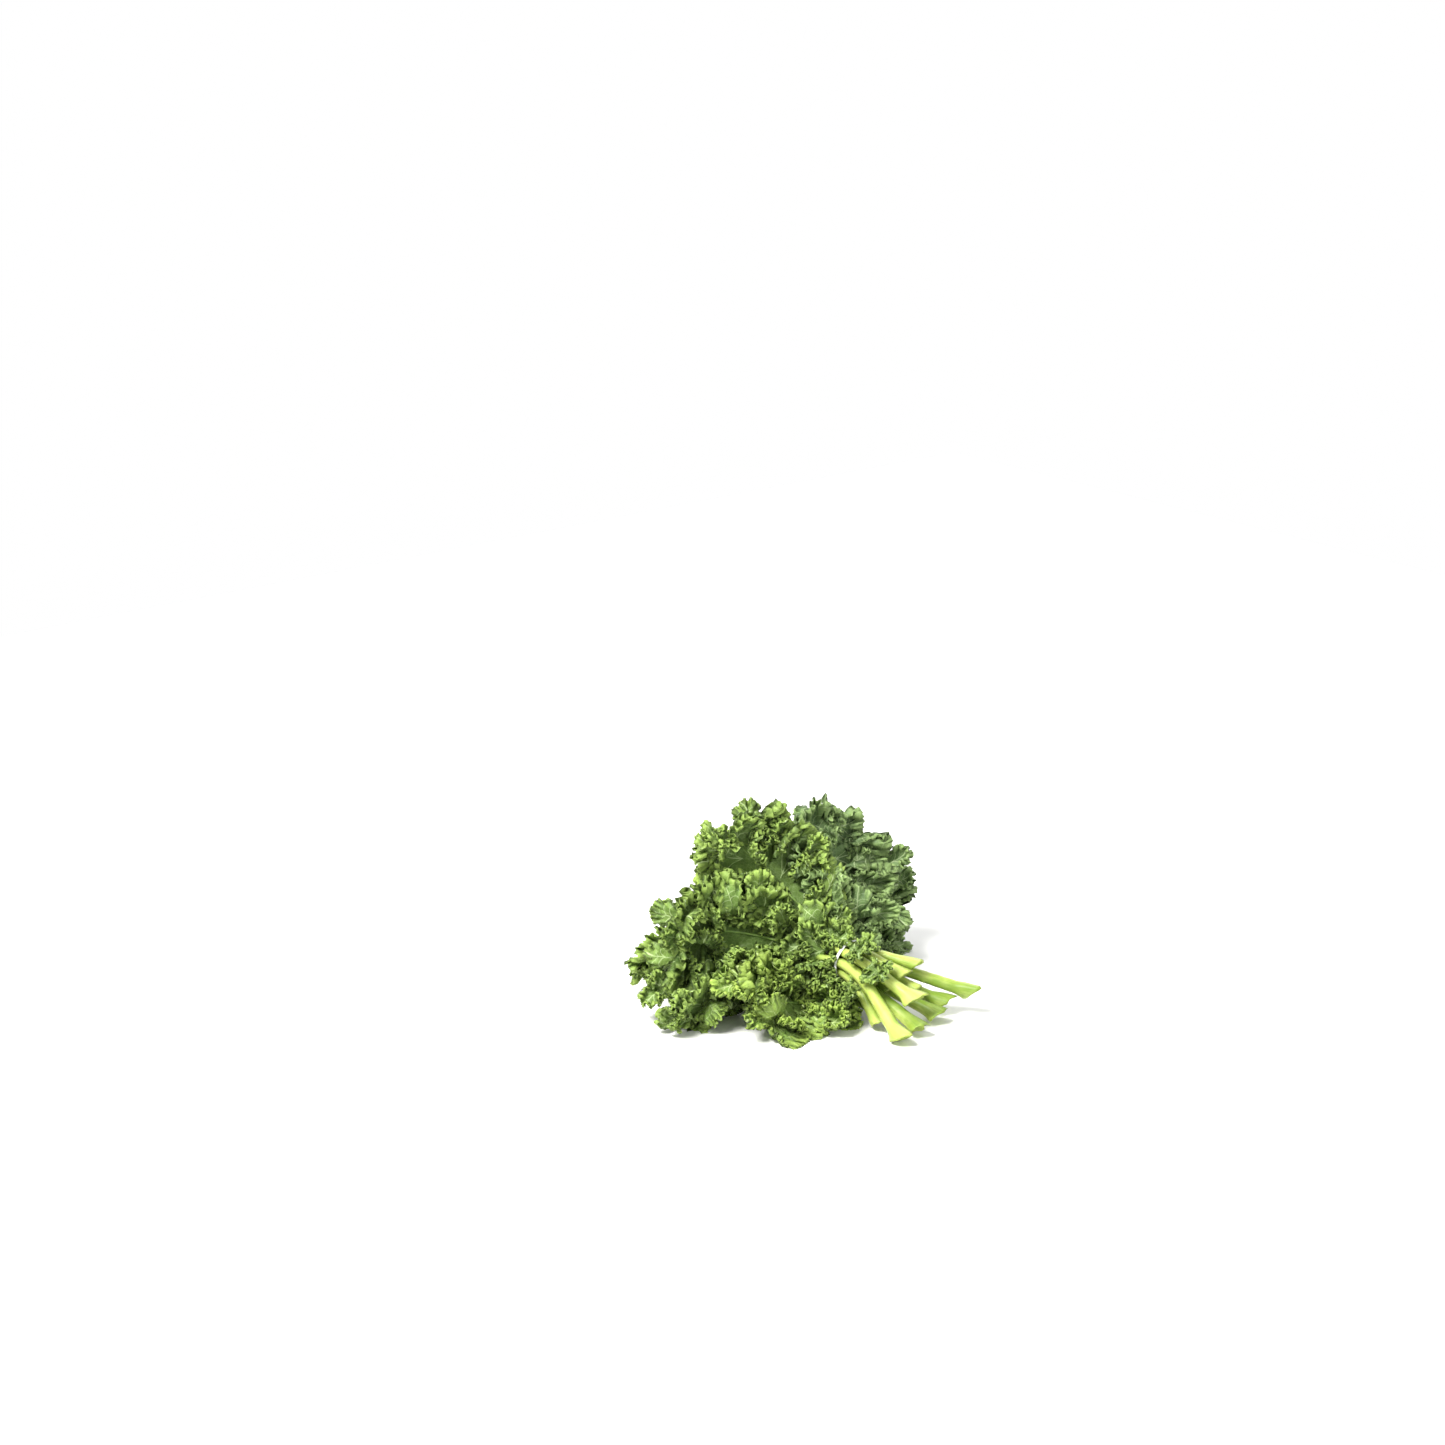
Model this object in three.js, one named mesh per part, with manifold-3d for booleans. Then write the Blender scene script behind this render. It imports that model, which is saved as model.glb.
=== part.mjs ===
// A bunch of curly kale lying on its side: whole leaves, each a stem with its midrib and a
// ruffled blade, gathered by a twist tie. Millimetres, +Z up. +X runs along the bunch towards
// the cut stem ends, and the blades spread towards -X and to both sides.
import * as THREE from "three";
import { mergeVertices } from "three/addons/utils/BufferGeometryUtils.js";
import Module from "manifold-3d";

// ---- Driving dimensions of the bunch, in millimetres and degrees ----
const NECK_HEIGHT = 54; // axis of the gathered stems above the surface, at the tie
const RING_SEAT = 16.8; // radius on which the outer stems pass through the tie
const SPLAY_START = 14; // angle of the outer layer's leaves off the bunch's axis, at the tie
const SPLAY_BEND = 0.41; // by which that angle grows for each millimetre along a leaf
const HANG_BEND = 75; // further angle at the tie of a leaf a whole layer outside that
const LAYER_TILT = 0.13; // layers by which a blade's one side overlies its neighbour, per radian
const HANGING_LAYER = 1.4; // a leaf outside this layer hangs forward beside the stems
const HANGING_TILT = -0.4; // and its lower side comes forward the most
const UP_SHARE = 0.9; // the bunch's height over its half width
const PRESS_START = 12; // depth under the axis where the surface begins to press the leaves
const PRESS_SOFTNESS = 29.5; // and how gently: they give way over about this depth
const WARP_REACH = 8; // how far the leaves stray from an even rosette
const WARP_LENGTH = 190; // over which they stray once to each side

// ---- Blades and stems ----
const BLADE_THICKNESS = 0.9;
const BLADE_START = 10; // along the leaf, from the tie
const CORE_BLADE_START = 58; // the same of the leaves at the bunch's axis
const VEIN_REACH = 0.84; // share of the blade's length where the last vein leaves the midrib
const LOBE_WAVES = 4; // full waves of lobes along each side of a blade
const LOBE_RISE = 10; // how far a lobe stands out of the blade, at most
const LOBE_HEADROOM = 0.06; // and at most this share of its distance from the tie
const LOBE_CUT = 0.2; // share of the half width that is cut away between two lobes
const FRILL_RISE = 3.6; // how far the frilled margin zigzags out of a lobe
const PRESSED_RUFFLE = 0.2; // share of both that is left where a blade is pressed to the surface
const MARGIN_STEPS = 72; // samples round the whole margin of a blade
const BLADE_ROWS = 3; // samples from the midrib to the margin
const BLADE_BASE = 0.1; // share of the margin left out at the blade's base, where it meets the stem
const FOLD_WIDTH = 1.5; // near the tie a blade is no wider than this many times its room
const RIB_CLEARANCE = 0.8; // between a blade's back and its midrib
const RIB_SHARE = 0.8; // of the blade's length that its midrib reaches
const STEM_GROWTH = 0.35; // by which a stem is thicker near its cut end than at the tie
const CUT_FLARE = 0.22; // by which its very end is wider again
const STEM_SIDES = 7;
const LEAFLET_RISE = 2.1; // how far a small leaf on a stem is ruffled to each side
const LEAFLET_STEPS = 28;
const LEAFLET_ROWS = 2;

// ---- The tie ----
const TIE_WIDTH = 4;
const TIE_THICKNESS = 0.8;
const TIE_CLEARANCE = 0.5; // between the outer stems and the tie
const TIE_TAIL = 15; // length of its twisted ends
const TIE_TAIL_SIDE = 25; // where they stand, round the bunch from the top

const STEM_COLOUR = 0xb9cf5c;
const BLADE_COLOUR = 0x5f8240;
const TIE_COLOUR = 0xe9eae2;

// ---- The leaves ----
// seat: where the stem passes the tie, as a layer and an angle round the bunch, from the top
// towards +Y. layer and around: where the blade lies, 0 being the bunch's axis and 1 its outer
// leaves. half: the blade's half width. cut: the middle of the cut stem end. stem: its radius
// at the tie.
const LEAVES = [
  { name: "01", seat: [1, -80], layer: 1.0, around: -76, length: 232, half: 88, cut: [111, -27, 7.6], stem: 5.4 },
  { name: "02", seat: [1, -40], layer: 0.97, around: -26, length: 210, half: 84, cut: [92, 8, 35], stem: 5.4 },
  { name: "03", seat: [1, 40], layer: 0.95, around: 34, length: 210, half: 86, cut: [60, 38, 58], stem: 5.2 },
  { name: "04", seat: [1, 120], layer: 0.905, around: 100, length: 220, half: 85, cut: [75, 64, 14], stem: 5.2 },
  { name: "05", seat: [1, -160], layer: 1.62, around: -108, length: 152, half: 94, cut: [106, 2, 10], stem: 5.4 },
  { name: "06", seat: [1, -120], layer: 1.18, around: -110, length: 220, half: 88, cut: [66, -19, 9], stem: 5.0 },
  { name: "07", seat: [1, 160], layer: 0.605, around: 168, length: 225, half: 74, cut: [90, 42, 11], stem: 5.2 },
  { name: "08", seat: [1, 80], layer: 0.535, around: 69, length: 235, half: 74, cut: [95, 84, 27], stem: 5.0 },
  { name: "09", seat: [1, 0], layer: 0.51, around: -11, length: 225, half: 70, cut: [60, 20, 51], stem: 5.0 },
  { name: "10", seat: [0.34, -100], layer: 0.57, around: -106, length: 248, half: 68, cut: [43, -3, 43], stem: 4.1 },
  { name: "11", seat: [0.34, 20], layer: 0.185, around: 21, length: 258, half: 62, cut: [66, 32, 35], stem: 4.2 },
  { name: "12", seat: [0.34, 140], layer: 0.2, around: 139, length: 250, half: 45, cut: [52, 9, 37], stem: 4.1 },
];

// ---- The small leaves on the stems below the tie ----
// stem: the one it grows on. down: from the tie to its base, along that stem. side: the side of
// the stem it grows on, from the top towards +Y. towards: its direction.
const LEAFLETS = [
  { name: "leaflet_1", stem: "02", down: 9, side: -20, towards: [0.9, 0.35, 0.12], length: 34, half: 20 },
  { name: "leaflet_2", stem: "02", down: 38, side: -42, towards: [1, -0.15, -0.2], length: 36, half: 18 },
  { name: "leaflet_3", stem: "06", down: 24, side: -100, towards: [0.62, -0.62, -0.48], length: 52, half: 30 },
];

const wasm = await Module();
wasm.setup();

const radians = THREE.MathUtils.degToRad;
const { lerp, smoothstep } = THREE.MathUtils;

// A place in the bunch, before it is laid down: how far along a leaf from the tie, in which
// layer, at which angle round the bunch, and how far outside that layer.
function rosettePoint(along, layer, around, outside = 0) {
  const from = radians(SPLAY_START * layer + HANG_BEND * Math.max(0, layer - 1));
  const bend = radians(SPLAY_BEND * Math.min(Math.max(layer, 0.02), 1));
  const angle = from + bend * along;
  const axial = (Math.sin(angle) - Math.sin(from)) / bend;
  const radial = (Math.cos(from) - Math.cos(angle)) / bend;
  const reach = RING_SEAT * layer + radial + Math.cos(angle) * outside;
  return new THREE.Vector3(Math.sin(angle) * outside - axial, Math.sin(around) * reach, Math.cos(around) * reach);
}

// The bunch's own weight presses its lower leaves flat, and the leaves stray together from an
// even rosette. Neither brings two leaves across each other.
function laidDown(point) {
  const deep = -point.z - PRESS_START;
  if (deep > 0) point.z = -PRESS_START - PRESS_SOFTNESS * Math.log1p(deep / PRESS_SOFTNESS);
  else if (point.z > 0) point.z *= lerp(1, UP_SHARE, smoothstep(point.z, 10, 60));
  const reach = WARP_REACH * smoothstep(point.length(), 25, 95) * smoothstep(point.z, -50, 10);
  const turn = (2 * Math.PI) / WARP_LENGTH;
  const { x, y, z } = point;
  point.x += reach * Math.sin(turn * (y + 0.4 * z) + 0.7);
  point.y += reach * Math.sin(turn * (z + 0.5 * x) + 2.1);
  point.z += reach * Math.sin(turn * (x - 0.6 * y) + 4.0) + NECK_HEIGHT;
  return point;
}

// How a leaf lies round the bunch: its layer, its distance from the bunch's axis, and how far
// its blade may swing to each side, which is little near the tie, between its neighbours.
function leafLie(leaf, along) {
  const middle = lerp(leaf.seat[0], leaf.layer, smoothstep(along, 0, 45));
  const radius = rosettePoint(along, middle, 0).z;
  const widest = radians(lerp(16, leaf.layer > 0.5 ? 88 : 72, smoothstep(along, 30, 120)));
  return { middle, radius, widest };
}

// A point of a leaf's even surface, without its lobes: sideways is measured round the bunch.
function leafPoint(leaf, along, sideways = 0, outside = 0) {
  const { middle, radius, widest } = leafLie(leaf, along);
  const swing = widest * Math.tanh(sideways / radius / widest);
  const around = radians(lerp(leaf.seat[1], leaf.around, smoothstep(along, 10, 70))) + swing;
  const tilt = leaf.layer > HANGING_LAYER ? HANGING_TILT : LAYER_TILT;
  const layer = middle + tilt * swing * smoothstep(along, 10, 60);
  return laidDown(rosettePoint(along, layer, around, outside));
}

// That surface's outward direction, and the one along the leaf.
function leafFrame(leaf, along, sideways = 0) {
  const step = 0.5;
  const point = leafPoint(leaf, along, sideways);
  const ahead = leafPoint(leaf, along + step, sideways).sub(point).normalize();
  const beside = leafPoint(leaf, along, sideways + step).sub(point);
  return { point, ahead, outward: beside.cross(ahead).normalize() };
}

// Stem and midrib radius at a distance from the tie, negative towards the cut end.
function stemRadius(leaf, along) {
  if (along < 0) return leaf.stem * (1 + STEM_GROWTH * smoothstep(-along, 0, 120));
  return leaf.stem * (1 - 0.8 * smoothstep(along, -40, leaf.length * 0.9));
}

const bladeStart = (leaf) => (leaf.layer < 0.5 ? CORE_BLADE_START : BLADE_START);

// Where a point of a flat blade lies, along its midrib and across it. round runs from -1 through
// the tip at 0 to 1, and share from the midrib at 0 to the margin at 1.
function outline(round, share, { start, length, half, fullness, phase }) {
  const side = 1 - Math.abs(round);
  const tip = start + (length - start) * (0.5 - 0.5 * Math.cos(Math.PI * side));
  const vein = start + (length - start) * VEIN_REACH * side ** 1.25;
  const width = half * Math.sin(Math.PI * side ** 1.25) ** fullness;
  const wave = Math.PI * 2 * LOBE_WAVES * round + phase;
  const cut = 1 - LOBE_CUT * Math.cos(wave) ** 2 * smoothstep(share, 0.2, 1);
  return {
    along: vein + (tip - vein) * share * cut,
    sideways: Math.sign(round) * width * share * cut,
    lobe: smoothstep(share, 0.15, 1) * Math.sin(wave),
    width,
  };
}

// A point of a blade's middle surface, with frill running from -1 to 1.
function bladePoint(leaf, round, share, frill) {
  const flat = outline(round, share, {
    start: bladeStart(leaf),
    length: leaf.length,
    half: leaf.half,
    fullness: leaf.layer > 0.8 ? 0.62 : 0.8,
    phase: radians(leaf.around),
  });
  const { along, lobe } = flat;
  const { radius, widest } = leafLie(leaf, along);
  const sideways = flat.sideways / Math.hypot(1, flat.width / (FOLD_WIDTH * widest * radius));
  // Little stands out beside the stem, in a tight roll, under the bunch or between two lobes.
  const beside = smoothstep(Math.abs(sideways), 8, 24);
  const open = smoothstep(radius, 10, 100);
  const free = lerp(PRESSED_RUFFLE, 1, smoothstep(leafPoint(leaf, along, sideways).z, 5, 60));
  const gathered = lerp(0.35, 1, Math.abs(lobe));
  const headroom = LOBE_HEADROOM * rosettePoint(along, 1, 0).length() * beside * open * free;
  const ruffle = Math.min(FRILL_RISE, 0.4 * headroom) * gathered * frill;
  const rise = Math.min(LOBE_RISE, headroom) * lobe + ruffle;
  const lift = stemRadius(leaf, along) + RIB_CLEARANCE + BLADE_THICKNESS / 2;
  const { outward } = leafFrame(leaf, along, sideways);
  return leafPoint(leaf, along, sideways, rise).addScaledVector(outward, -lift);
}

// Area-weighted vertex normals of a mesh given as points and triangles.
function normalsOf(points, triangles) {
  const geometry = new THREE.BufferGeometry().setFromPoints(points).setIndex(triangles.flat());
  geometry.computeVertexNormals();
  const normal = geometry.getAttribute("normal");
  return points.map((_, i) => new THREE.Vector3().fromBufferAttribute(normal, i));
}

// A blade as a closed solid: its middle surface, frilled at the margin and given a thickness.
// place gives a point of that surface for a round, a share and a frill.
function bladeGeometry(place, steps, rows) {
  const points = [];
  const grid = [];
  for (let i = 0; i <= steps; i++) {
    grid.push([]);
    const round = (1 - BLADE_BASE) * ((2 * i) / steps - 1);
    for (let row = 0; row <= rows; row++) {
      const mirrored = row === 0 && i > steps / 2;
      const share = row / rows;
      const frill = (i % 2 ? 1 : -1) * smoothstep(share, 0.4, 1);
      if (!mirrored) points.push(place(round, share ** 0.9, frill));
      grid[i].push(mirrored ? grid[steps - i][0] : points.length - 1);
    }
  }
  const triangles = [];
  for (let i = 0; i < steps; i++) {
    for (let row = 0; row < rows; row++) {
      const [a, b, c, d] = [grid[i][row], grid[i + 1][row], grid[i + 1][row + 1], grid[i][row + 1]];
      triangles.push(...((i + row) % 2 ? [[a, b, d], [b, c, d]] : [[a, b, c], [a, c, d]]));
    }
  }
  const half = BLADE_THICKNESS / 2;
  for (const point of points) point.z = Math.max(point.z, half);
  const normals = normalsOf(points, triangles);
  const skin = (offset) => points.map((point, i) => point.clone().addScaledVector(normals[i], offset));
  const all = [...skin(half), ...skin(-half)];
  for (const point of all) point.z = Math.max(point.z, 0);
  const shift = points.length;
  const faces = [...triangles, ...triangles.map(([a, b, c]) => [a + shift, c + shift, b + shift])];
  const rim = grid.map((column) => column[rows]);
  const border = [...grid[0], ...rim.slice(1), ...grid[steps].slice(1, -1).reverse()];
  border.forEach((a, i) => {
    const b = border[(i + 1) % border.length];
    faces.push([a, b, b + shift], [a, b + shift, a + shift]);
  });
  return new THREE.BufferGeometry().setFromPoints(all).setIndex(faces.flat());
}

// The stem's path from its cut end to the tie.
function stemPath(leaf) {
  const seat = leafPoint(leaf, 0);
  const cut = new THREE.Vector3(...leaf.cut);
  const level = new THREE.Vector3(0.42 * (cut.x - seat.x), 0, 0);
  return new THREE.CubicBezierCurve3(cut, cut.clone().lerp(seat, 0.36), level.add(seat), seat);
}

// A small leaf that grows on a stem below the tie.
function leafletPoint(leaflet, round, share, frill) {
  const leaf = LEAVES.find(({ name }) => name === leaflet.stem);
  const path = stemPath(leaf);
  const t = 1 - leaflet.down / path.getLength();
  const side = radians(leaflet.side);
  const tangent = path.getTangentAt(t);
  const outward = new THREE.Vector3(0, Math.sin(side), Math.cos(side));
  outward.addScaledVector(tangent, -outward.dot(tangent)).normalize();
  const forward = new THREE.Vector3(...leaflet.towards).normalize();
  const across = forward.clone().cross(outward).normalize();
  const facing = across.clone().cross(forward);
  const lift = stemRadius(leaf, -leaflet.down) + RIB_CLEARANCE + BLADE_THICKNESS / 2;
  const { along, sideways, lobe } = outline(round, share, {
    start: 0,
    length: leaflet.length,
    half: leaflet.half,
    fullness: 0.7,
    phase: side,
  });
  return path.getPointAt(t)
    .addScaledVector(outward, lift)
    .addScaledVector(forward, along)
    .addScaledVector(across, sideways)
    .addScaledVector(facing, LEAFLET_RISE * (1.2 + lobe + 0.5 * frill) * share);
}

// A stem with its midrib: a turned, tapered bar, bent along the leaf.
function stemGeometry(leaf) {
  const path = stemPath(leaf);
  const stemLength = path.getLength();
  const ribLength = lerp(bladeStart(leaf), leaf.length, RIB_SHARE);
  const stations = [0, 0.03, 0.25, 0.5, 0.75, 1].map((t) => (t - 1) * stemLength);
  for (let i = 1; i <= 12; i++) stations.push((ribLength * i) / 12);
  const profile = [new THREE.Vector2(0, stations[0])];
  for (const along of stations) {
    const flare = 1 + CUT_FLARE * smoothstep(-along, stemLength * 0.72, stemLength);
    profile.push(new THREE.Vector2(stemRadius(leaf, along) * flare, along));
  }
  profile.push(new THREE.Vector2(0, stations.at(-1)));
  const bar = bare(new THREE.LatheGeometry(profile, STEM_SIDES));
  const position = bar.getAttribute("position");
  const { outward } = leafFrame(leaf, 0);
  for (let i = 0; i < position.count; i++) {
    const [x, along, z] = [position.getX(i), position.getY(i), position.getZ(i)];
    const t = THREE.MathUtils.clamp(1 + along / stemLength, 0, 1);
    const line = along < 0
      ? { point: path.getPointAt(t), ahead: path.getTangentAt(t), outward }
      : leafFrame(leaf, along);
    const across = line.ahead.clone().cross(line.outward).normalize();
    const facing = across.clone().cross(line.ahead).normalize();
    const point = line.point.clone().addScaledVector(across, x).addScaledVector(facing, z);
    position.setXYZ(i, point.x, point.y, Math.max(point.z, 0));
  }
  return bar;
}

// A geometry with shared vertices, and only their positions.
function bare(geometry) {
  geometry.deleteAttribute("normal");
  geometry.deleteAttribute("uv");
  return mergeVertices(geometry, 1e-4);
}

function solid(geometry) {
  const merged = bare(geometry);
  const vertProperties = merged.getAttribute("position").array;
  const triVerts = new Uint32Array(merged.index.array);
  return new wasm.Manifold(new wasm.Mesh({ numProp: 3, vertProperties, triVerts }));
}

// The tie: a flat band round the gathered stems, with its two ends twisted into a short tail.
function tieGeometry() {
  const inner = RING_SEAT + Math.max(...LEAVES.map(({ stem }) => stem)) + TIE_CLEARANCE;
  const outer = inner + TIE_THICKNESS;
  const edge = TIE_WIDTH / 2;
  const section = [[inner, -edge], [outer, -edge], [outer, edge], [inner, edge], [inner, -edge]];
  const band = new THREE.LatheGeometry(section.map((corner) => new THREE.Vector2(...corner)), 28);
  band.rotateZ(Math.PI / 2);
  const tail = new THREE.BoxGeometry(TIE_TAIL, TIE_WIDTH * 0.8, TIE_THICKNESS * 1.6, 8, 1, 1);
  const position = tail.getAttribute("position");
  for (let i = 0; i < position.count; i++) {
    const turn = (position.getX(i) / TIE_TAIL) * Math.PI * 1.5;
    const [y, z] = [position.getY(i), position.getZ(i)];
    position.setY(i, y * Math.cos(turn) - z * Math.sin(turn));
    position.setZ(i, y * Math.sin(turn) + z * Math.cos(turn));
  }
  tail.rotateY(radians(-28)).translate(TIE_TAIL * 0.42, 0, outer + TIE_TAIL * 0.2);
  tail.rotateX(radians(-TIE_TAIL_SIDE));
  const joined = solid(band).add(solid(tail)).getMesh();
  return new THREE.BufferGeometry()
    .setAttribute("position", new THREE.BufferAttribute(joined.vertProperties, 3))
    .setIndex(new THREE.BufferAttribute(joined.triVerts, 1))
    .translate(0, 0, NECK_HEIGHT);
}

function named(name, geometry, colour, roughness) {
  const material = new THREE.MeshStandardMaterial({ color: colour, roughness, metalness: 0 });
  const mesh = new THREE.Mesh(geometry, material);
  mesh.name = name;
  return mesh;
}

const bunch = new THREE.Group();
for (const leaf of LEAVES) {
  const blade = bladeGeometry((...at) => bladePoint(leaf, ...at), MARGIN_STEPS, BLADE_ROWS);
  bunch.add(named("stem_" + leaf.name, stemGeometry(leaf), STEM_COLOUR, 0.5));
  bunch.add(named("blade_" + leaf.name, blade, BLADE_COLOUR, 0.6));
}
for (const leaflet of LEAFLETS) {
  const blade = bladeGeometry((...at) => leafletPoint(leaflet, ...at), LEAFLET_STEPS, LEAFLET_ROWS);
  bunch.add(named(leaflet.name, blade, BLADE_COLOUR, 0.6));
}
bunch.add(named("tie", tieGeometry(), TIE_COLOUR, 0.45));

// The origin is under the middle of the whole bunch, on the surface.
const box = new THREE.Box3().setFromObject(bunch);
const middle = box.getCenter(new THREE.Vector3());
bunch.position.set(-middle.x, -middle.y, -box.min.z);

export default bunch;
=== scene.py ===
"""A bunch of curly kale lying on its side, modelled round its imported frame.

Every leaf has a stem that runs on as its midrib, and a blade: a main sheet that lies where the
frame's own does, and curled lobes that lean out of it. All of them are folded at their margins in
large and in small waves. The frame's tie says where the bunch's neck is. Lengths are in
millimetres until a mesh is placed, and angles in degrees where no comment says radians.
"""

import logging
import math
from dataclasses import dataclass
from enum import Enum
from functools import partial

import bmesh
import bpy
import numpy as np
from mathutils import Matrix, Quaternion, Vector


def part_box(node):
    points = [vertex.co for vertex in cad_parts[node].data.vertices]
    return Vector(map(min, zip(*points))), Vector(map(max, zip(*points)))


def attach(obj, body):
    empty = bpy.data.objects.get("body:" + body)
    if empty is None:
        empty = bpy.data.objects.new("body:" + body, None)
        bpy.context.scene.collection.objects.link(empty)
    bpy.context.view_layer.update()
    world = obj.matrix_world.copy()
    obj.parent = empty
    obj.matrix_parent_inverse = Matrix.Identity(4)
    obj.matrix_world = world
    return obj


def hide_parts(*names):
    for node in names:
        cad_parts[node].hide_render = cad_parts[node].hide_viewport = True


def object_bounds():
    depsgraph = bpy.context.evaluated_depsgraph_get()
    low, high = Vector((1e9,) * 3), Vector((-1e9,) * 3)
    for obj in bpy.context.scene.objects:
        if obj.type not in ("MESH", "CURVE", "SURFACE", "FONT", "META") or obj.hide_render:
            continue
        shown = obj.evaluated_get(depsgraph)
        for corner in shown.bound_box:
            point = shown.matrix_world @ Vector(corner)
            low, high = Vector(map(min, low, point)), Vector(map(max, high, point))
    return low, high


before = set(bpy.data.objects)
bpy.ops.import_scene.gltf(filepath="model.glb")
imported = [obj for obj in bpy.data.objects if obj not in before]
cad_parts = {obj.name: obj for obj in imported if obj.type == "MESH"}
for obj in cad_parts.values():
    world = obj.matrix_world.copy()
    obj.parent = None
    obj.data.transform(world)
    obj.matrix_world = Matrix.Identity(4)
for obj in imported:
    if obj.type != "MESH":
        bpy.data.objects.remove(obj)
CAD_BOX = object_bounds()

LOG = logging.getLogger("kale_bunch")
MM = 0.001
SMOOTH = {"interpolation_type": "SMOOTHSTEP"}  # a MapRange node's curve
RGBA = {"data_type": "RGBA"}  # a Mix node's kind
Array = np.ndarray


# ---- Small mathematics ----


def smoothstep(value: Array, low: float, high: float) -> Array:
    """Returns the smooth ramp from 0 at low to 1 at high."""
    share = np.clip((np.asarray(value, float) - low) / (high - low), 0.0, 1.0)
    return share * share * (3 - 2 * share)


def lerp(first: Array, second: Array, share: Array) -> Array:
    """Returns the mix of two values, the first at share 0 and the second at share 1."""
    return first + (second - first) * share


def unit(vectors: Array) -> Array:
    """Returns the vectors at length 1."""
    return vectors / np.maximum(np.linalg.norm(vectors, axis=-1, keepdims=True), 1e-9)


class Sway:
    """Smooth seeded noise along one or two lengths: a sum of sines, from about -1 to 1."""

    SPREAD = (0.6, 1.7)  # the shortest and the longest wave, for their mean
    PEAK = 1.5  # the sum's usual peak, for its mean size

    def __init__(self, seed: int, length: float, waves: int = 5) -> None:
        """Draws the sines.

        Args:
            seed: The random seed.
            length: The mean wavelength.
            waves: How many sines are added.
        """
        draw = np.random.default_rng(seed)
        turn = draw.uniform(0, 2 * math.pi, waves)
        pitch = 2 * math.pi / (length * draw.uniform(*self.SPREAD, waves))
        self.pitch = np.stack([pitch * np.cos(turn), pitch * np.sin(turn)])
        self.phase = draw.uniform(0, 2 * math.pi, waves)

    def __call__(self, x: Array, y: Array | float = 0.0) -> Array:
        """Reads the noise.

        Args:
            x: The places along its first length.
            y: The places along its second length.

        Returns:
            The noise at each place.
        """
        x, y = np.broadcast_arrays(np.asarray(x, float), np.asarray(y, float))
        angle = x[..., None] * self.pitch[0] + y[..., None] * self.pitch[1] + self.phase
        return np.sin(angle).sum(-1) / math.sqrt(len(self.phase) / 2) / self.PEAK


# ---- Node trees ----


def linear(code: str) -> tuple[float, float, float, float]:
    """Returns an sRGB hex colour as linear RGBA."""
    parts = [int(code[i : i + 2], 16) / 255 for i in (1, 3, 5)]
    return (*((c / 12.92 if c <= 0.04045 else ((c + 0.055) / 1.055) ** 2.4) for c in parts), 1.0)


def add_node(
    tree: bpy.types.NodeTree,
    kind: str,
    settings: dict | None = None,
    inputs: dict | None = None,
) -> bpy.types.Node:
    """Adds a node with its settings, values and links.

    Args:
        tree: The node tree.
        kind: The node's type, without its ShaderNode prefix.
        settings: Attributes to set.
        inputs: Sockets by name or number: a value, or a socket or node to link from.

    Returns:
        The node.
    """
    node = tree.nodes.new("ShaderNode" + kind)
    for name, value in (settings or {}).items():
        setattr(node, name, value)
    for name, value in (inputs or {}).items():
        if isinstance(value, bpy.types.Node):
            value = next(out for out in value.outputs if out.enabled)
        if isinstance(value, bpy.types.NodeSocket):
            tree.links.new(value, node.inputs[name])
        else:
            node.inputs[name].default_value = value
    return node


def layered(tree: bpy.types.NodeTree, base: tuple[float, ...], layers: tuple[tuple, ...]) -> bpy.types.Node:
    """Lays colours over a base colour.

    Args:
        tree: The node tree.
        base: The lowest colour.
        layers: The others from the lowest up, each with five things: the node or socket that says
            where it lies, the values at which it begins and is full, how much of what is below
            it then covers, and its colour.

    Returns:
        The node that gives the colour with all its layers.
    """
    colour = base
    for source, low, high, amount, over in layers:
        share = add_node(tree, "MapRange", SMOOTH, {0: source, 1: low, 2: high, 4: amount})
        colour = add_node(tree, "Mix", RGBA, {0: share, 6: colour, 7: over})
    return colour


def new_material(name: str) -> tuple[bpy.types.Material, bpy.types.NodeTree]:
    """Makes an empty node material.

    Args:
        name: The material's name.

    Returns:
        The material and its node tree.
    """
    material = bpy.data.materials.new(name)
    material.use_nodes = True
    material.node_tree.nodes.clear()
    return material, material.node_tree


# ---- Finishes ----


class Tone(Enum):
    """The shades of green that leaves of one bunch come in: flesh, shade, edge and vein.

    Shade is a darker green in random patches. The pale edge green also paints highlights on the
    margin and on crests.
    """

    DEEP = ("#56773c", "#2f4c20", "#9eb95a", "#bcd294")
    BLUE = ("#597747", "#324f2f", "#97b16d", "#bdd09c")
    FRESH = ("#618340", "#395822", "#a8c259", "#c4d890")


@dataclass(frozen=True)
class Vein:
    """A pair of branches that leave a lobe's side vein, or with no slope that vein itself."""

    start: float  # share of the way to the margin where they leave it
    slope: float  # how fast they do
    strength: float


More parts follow.
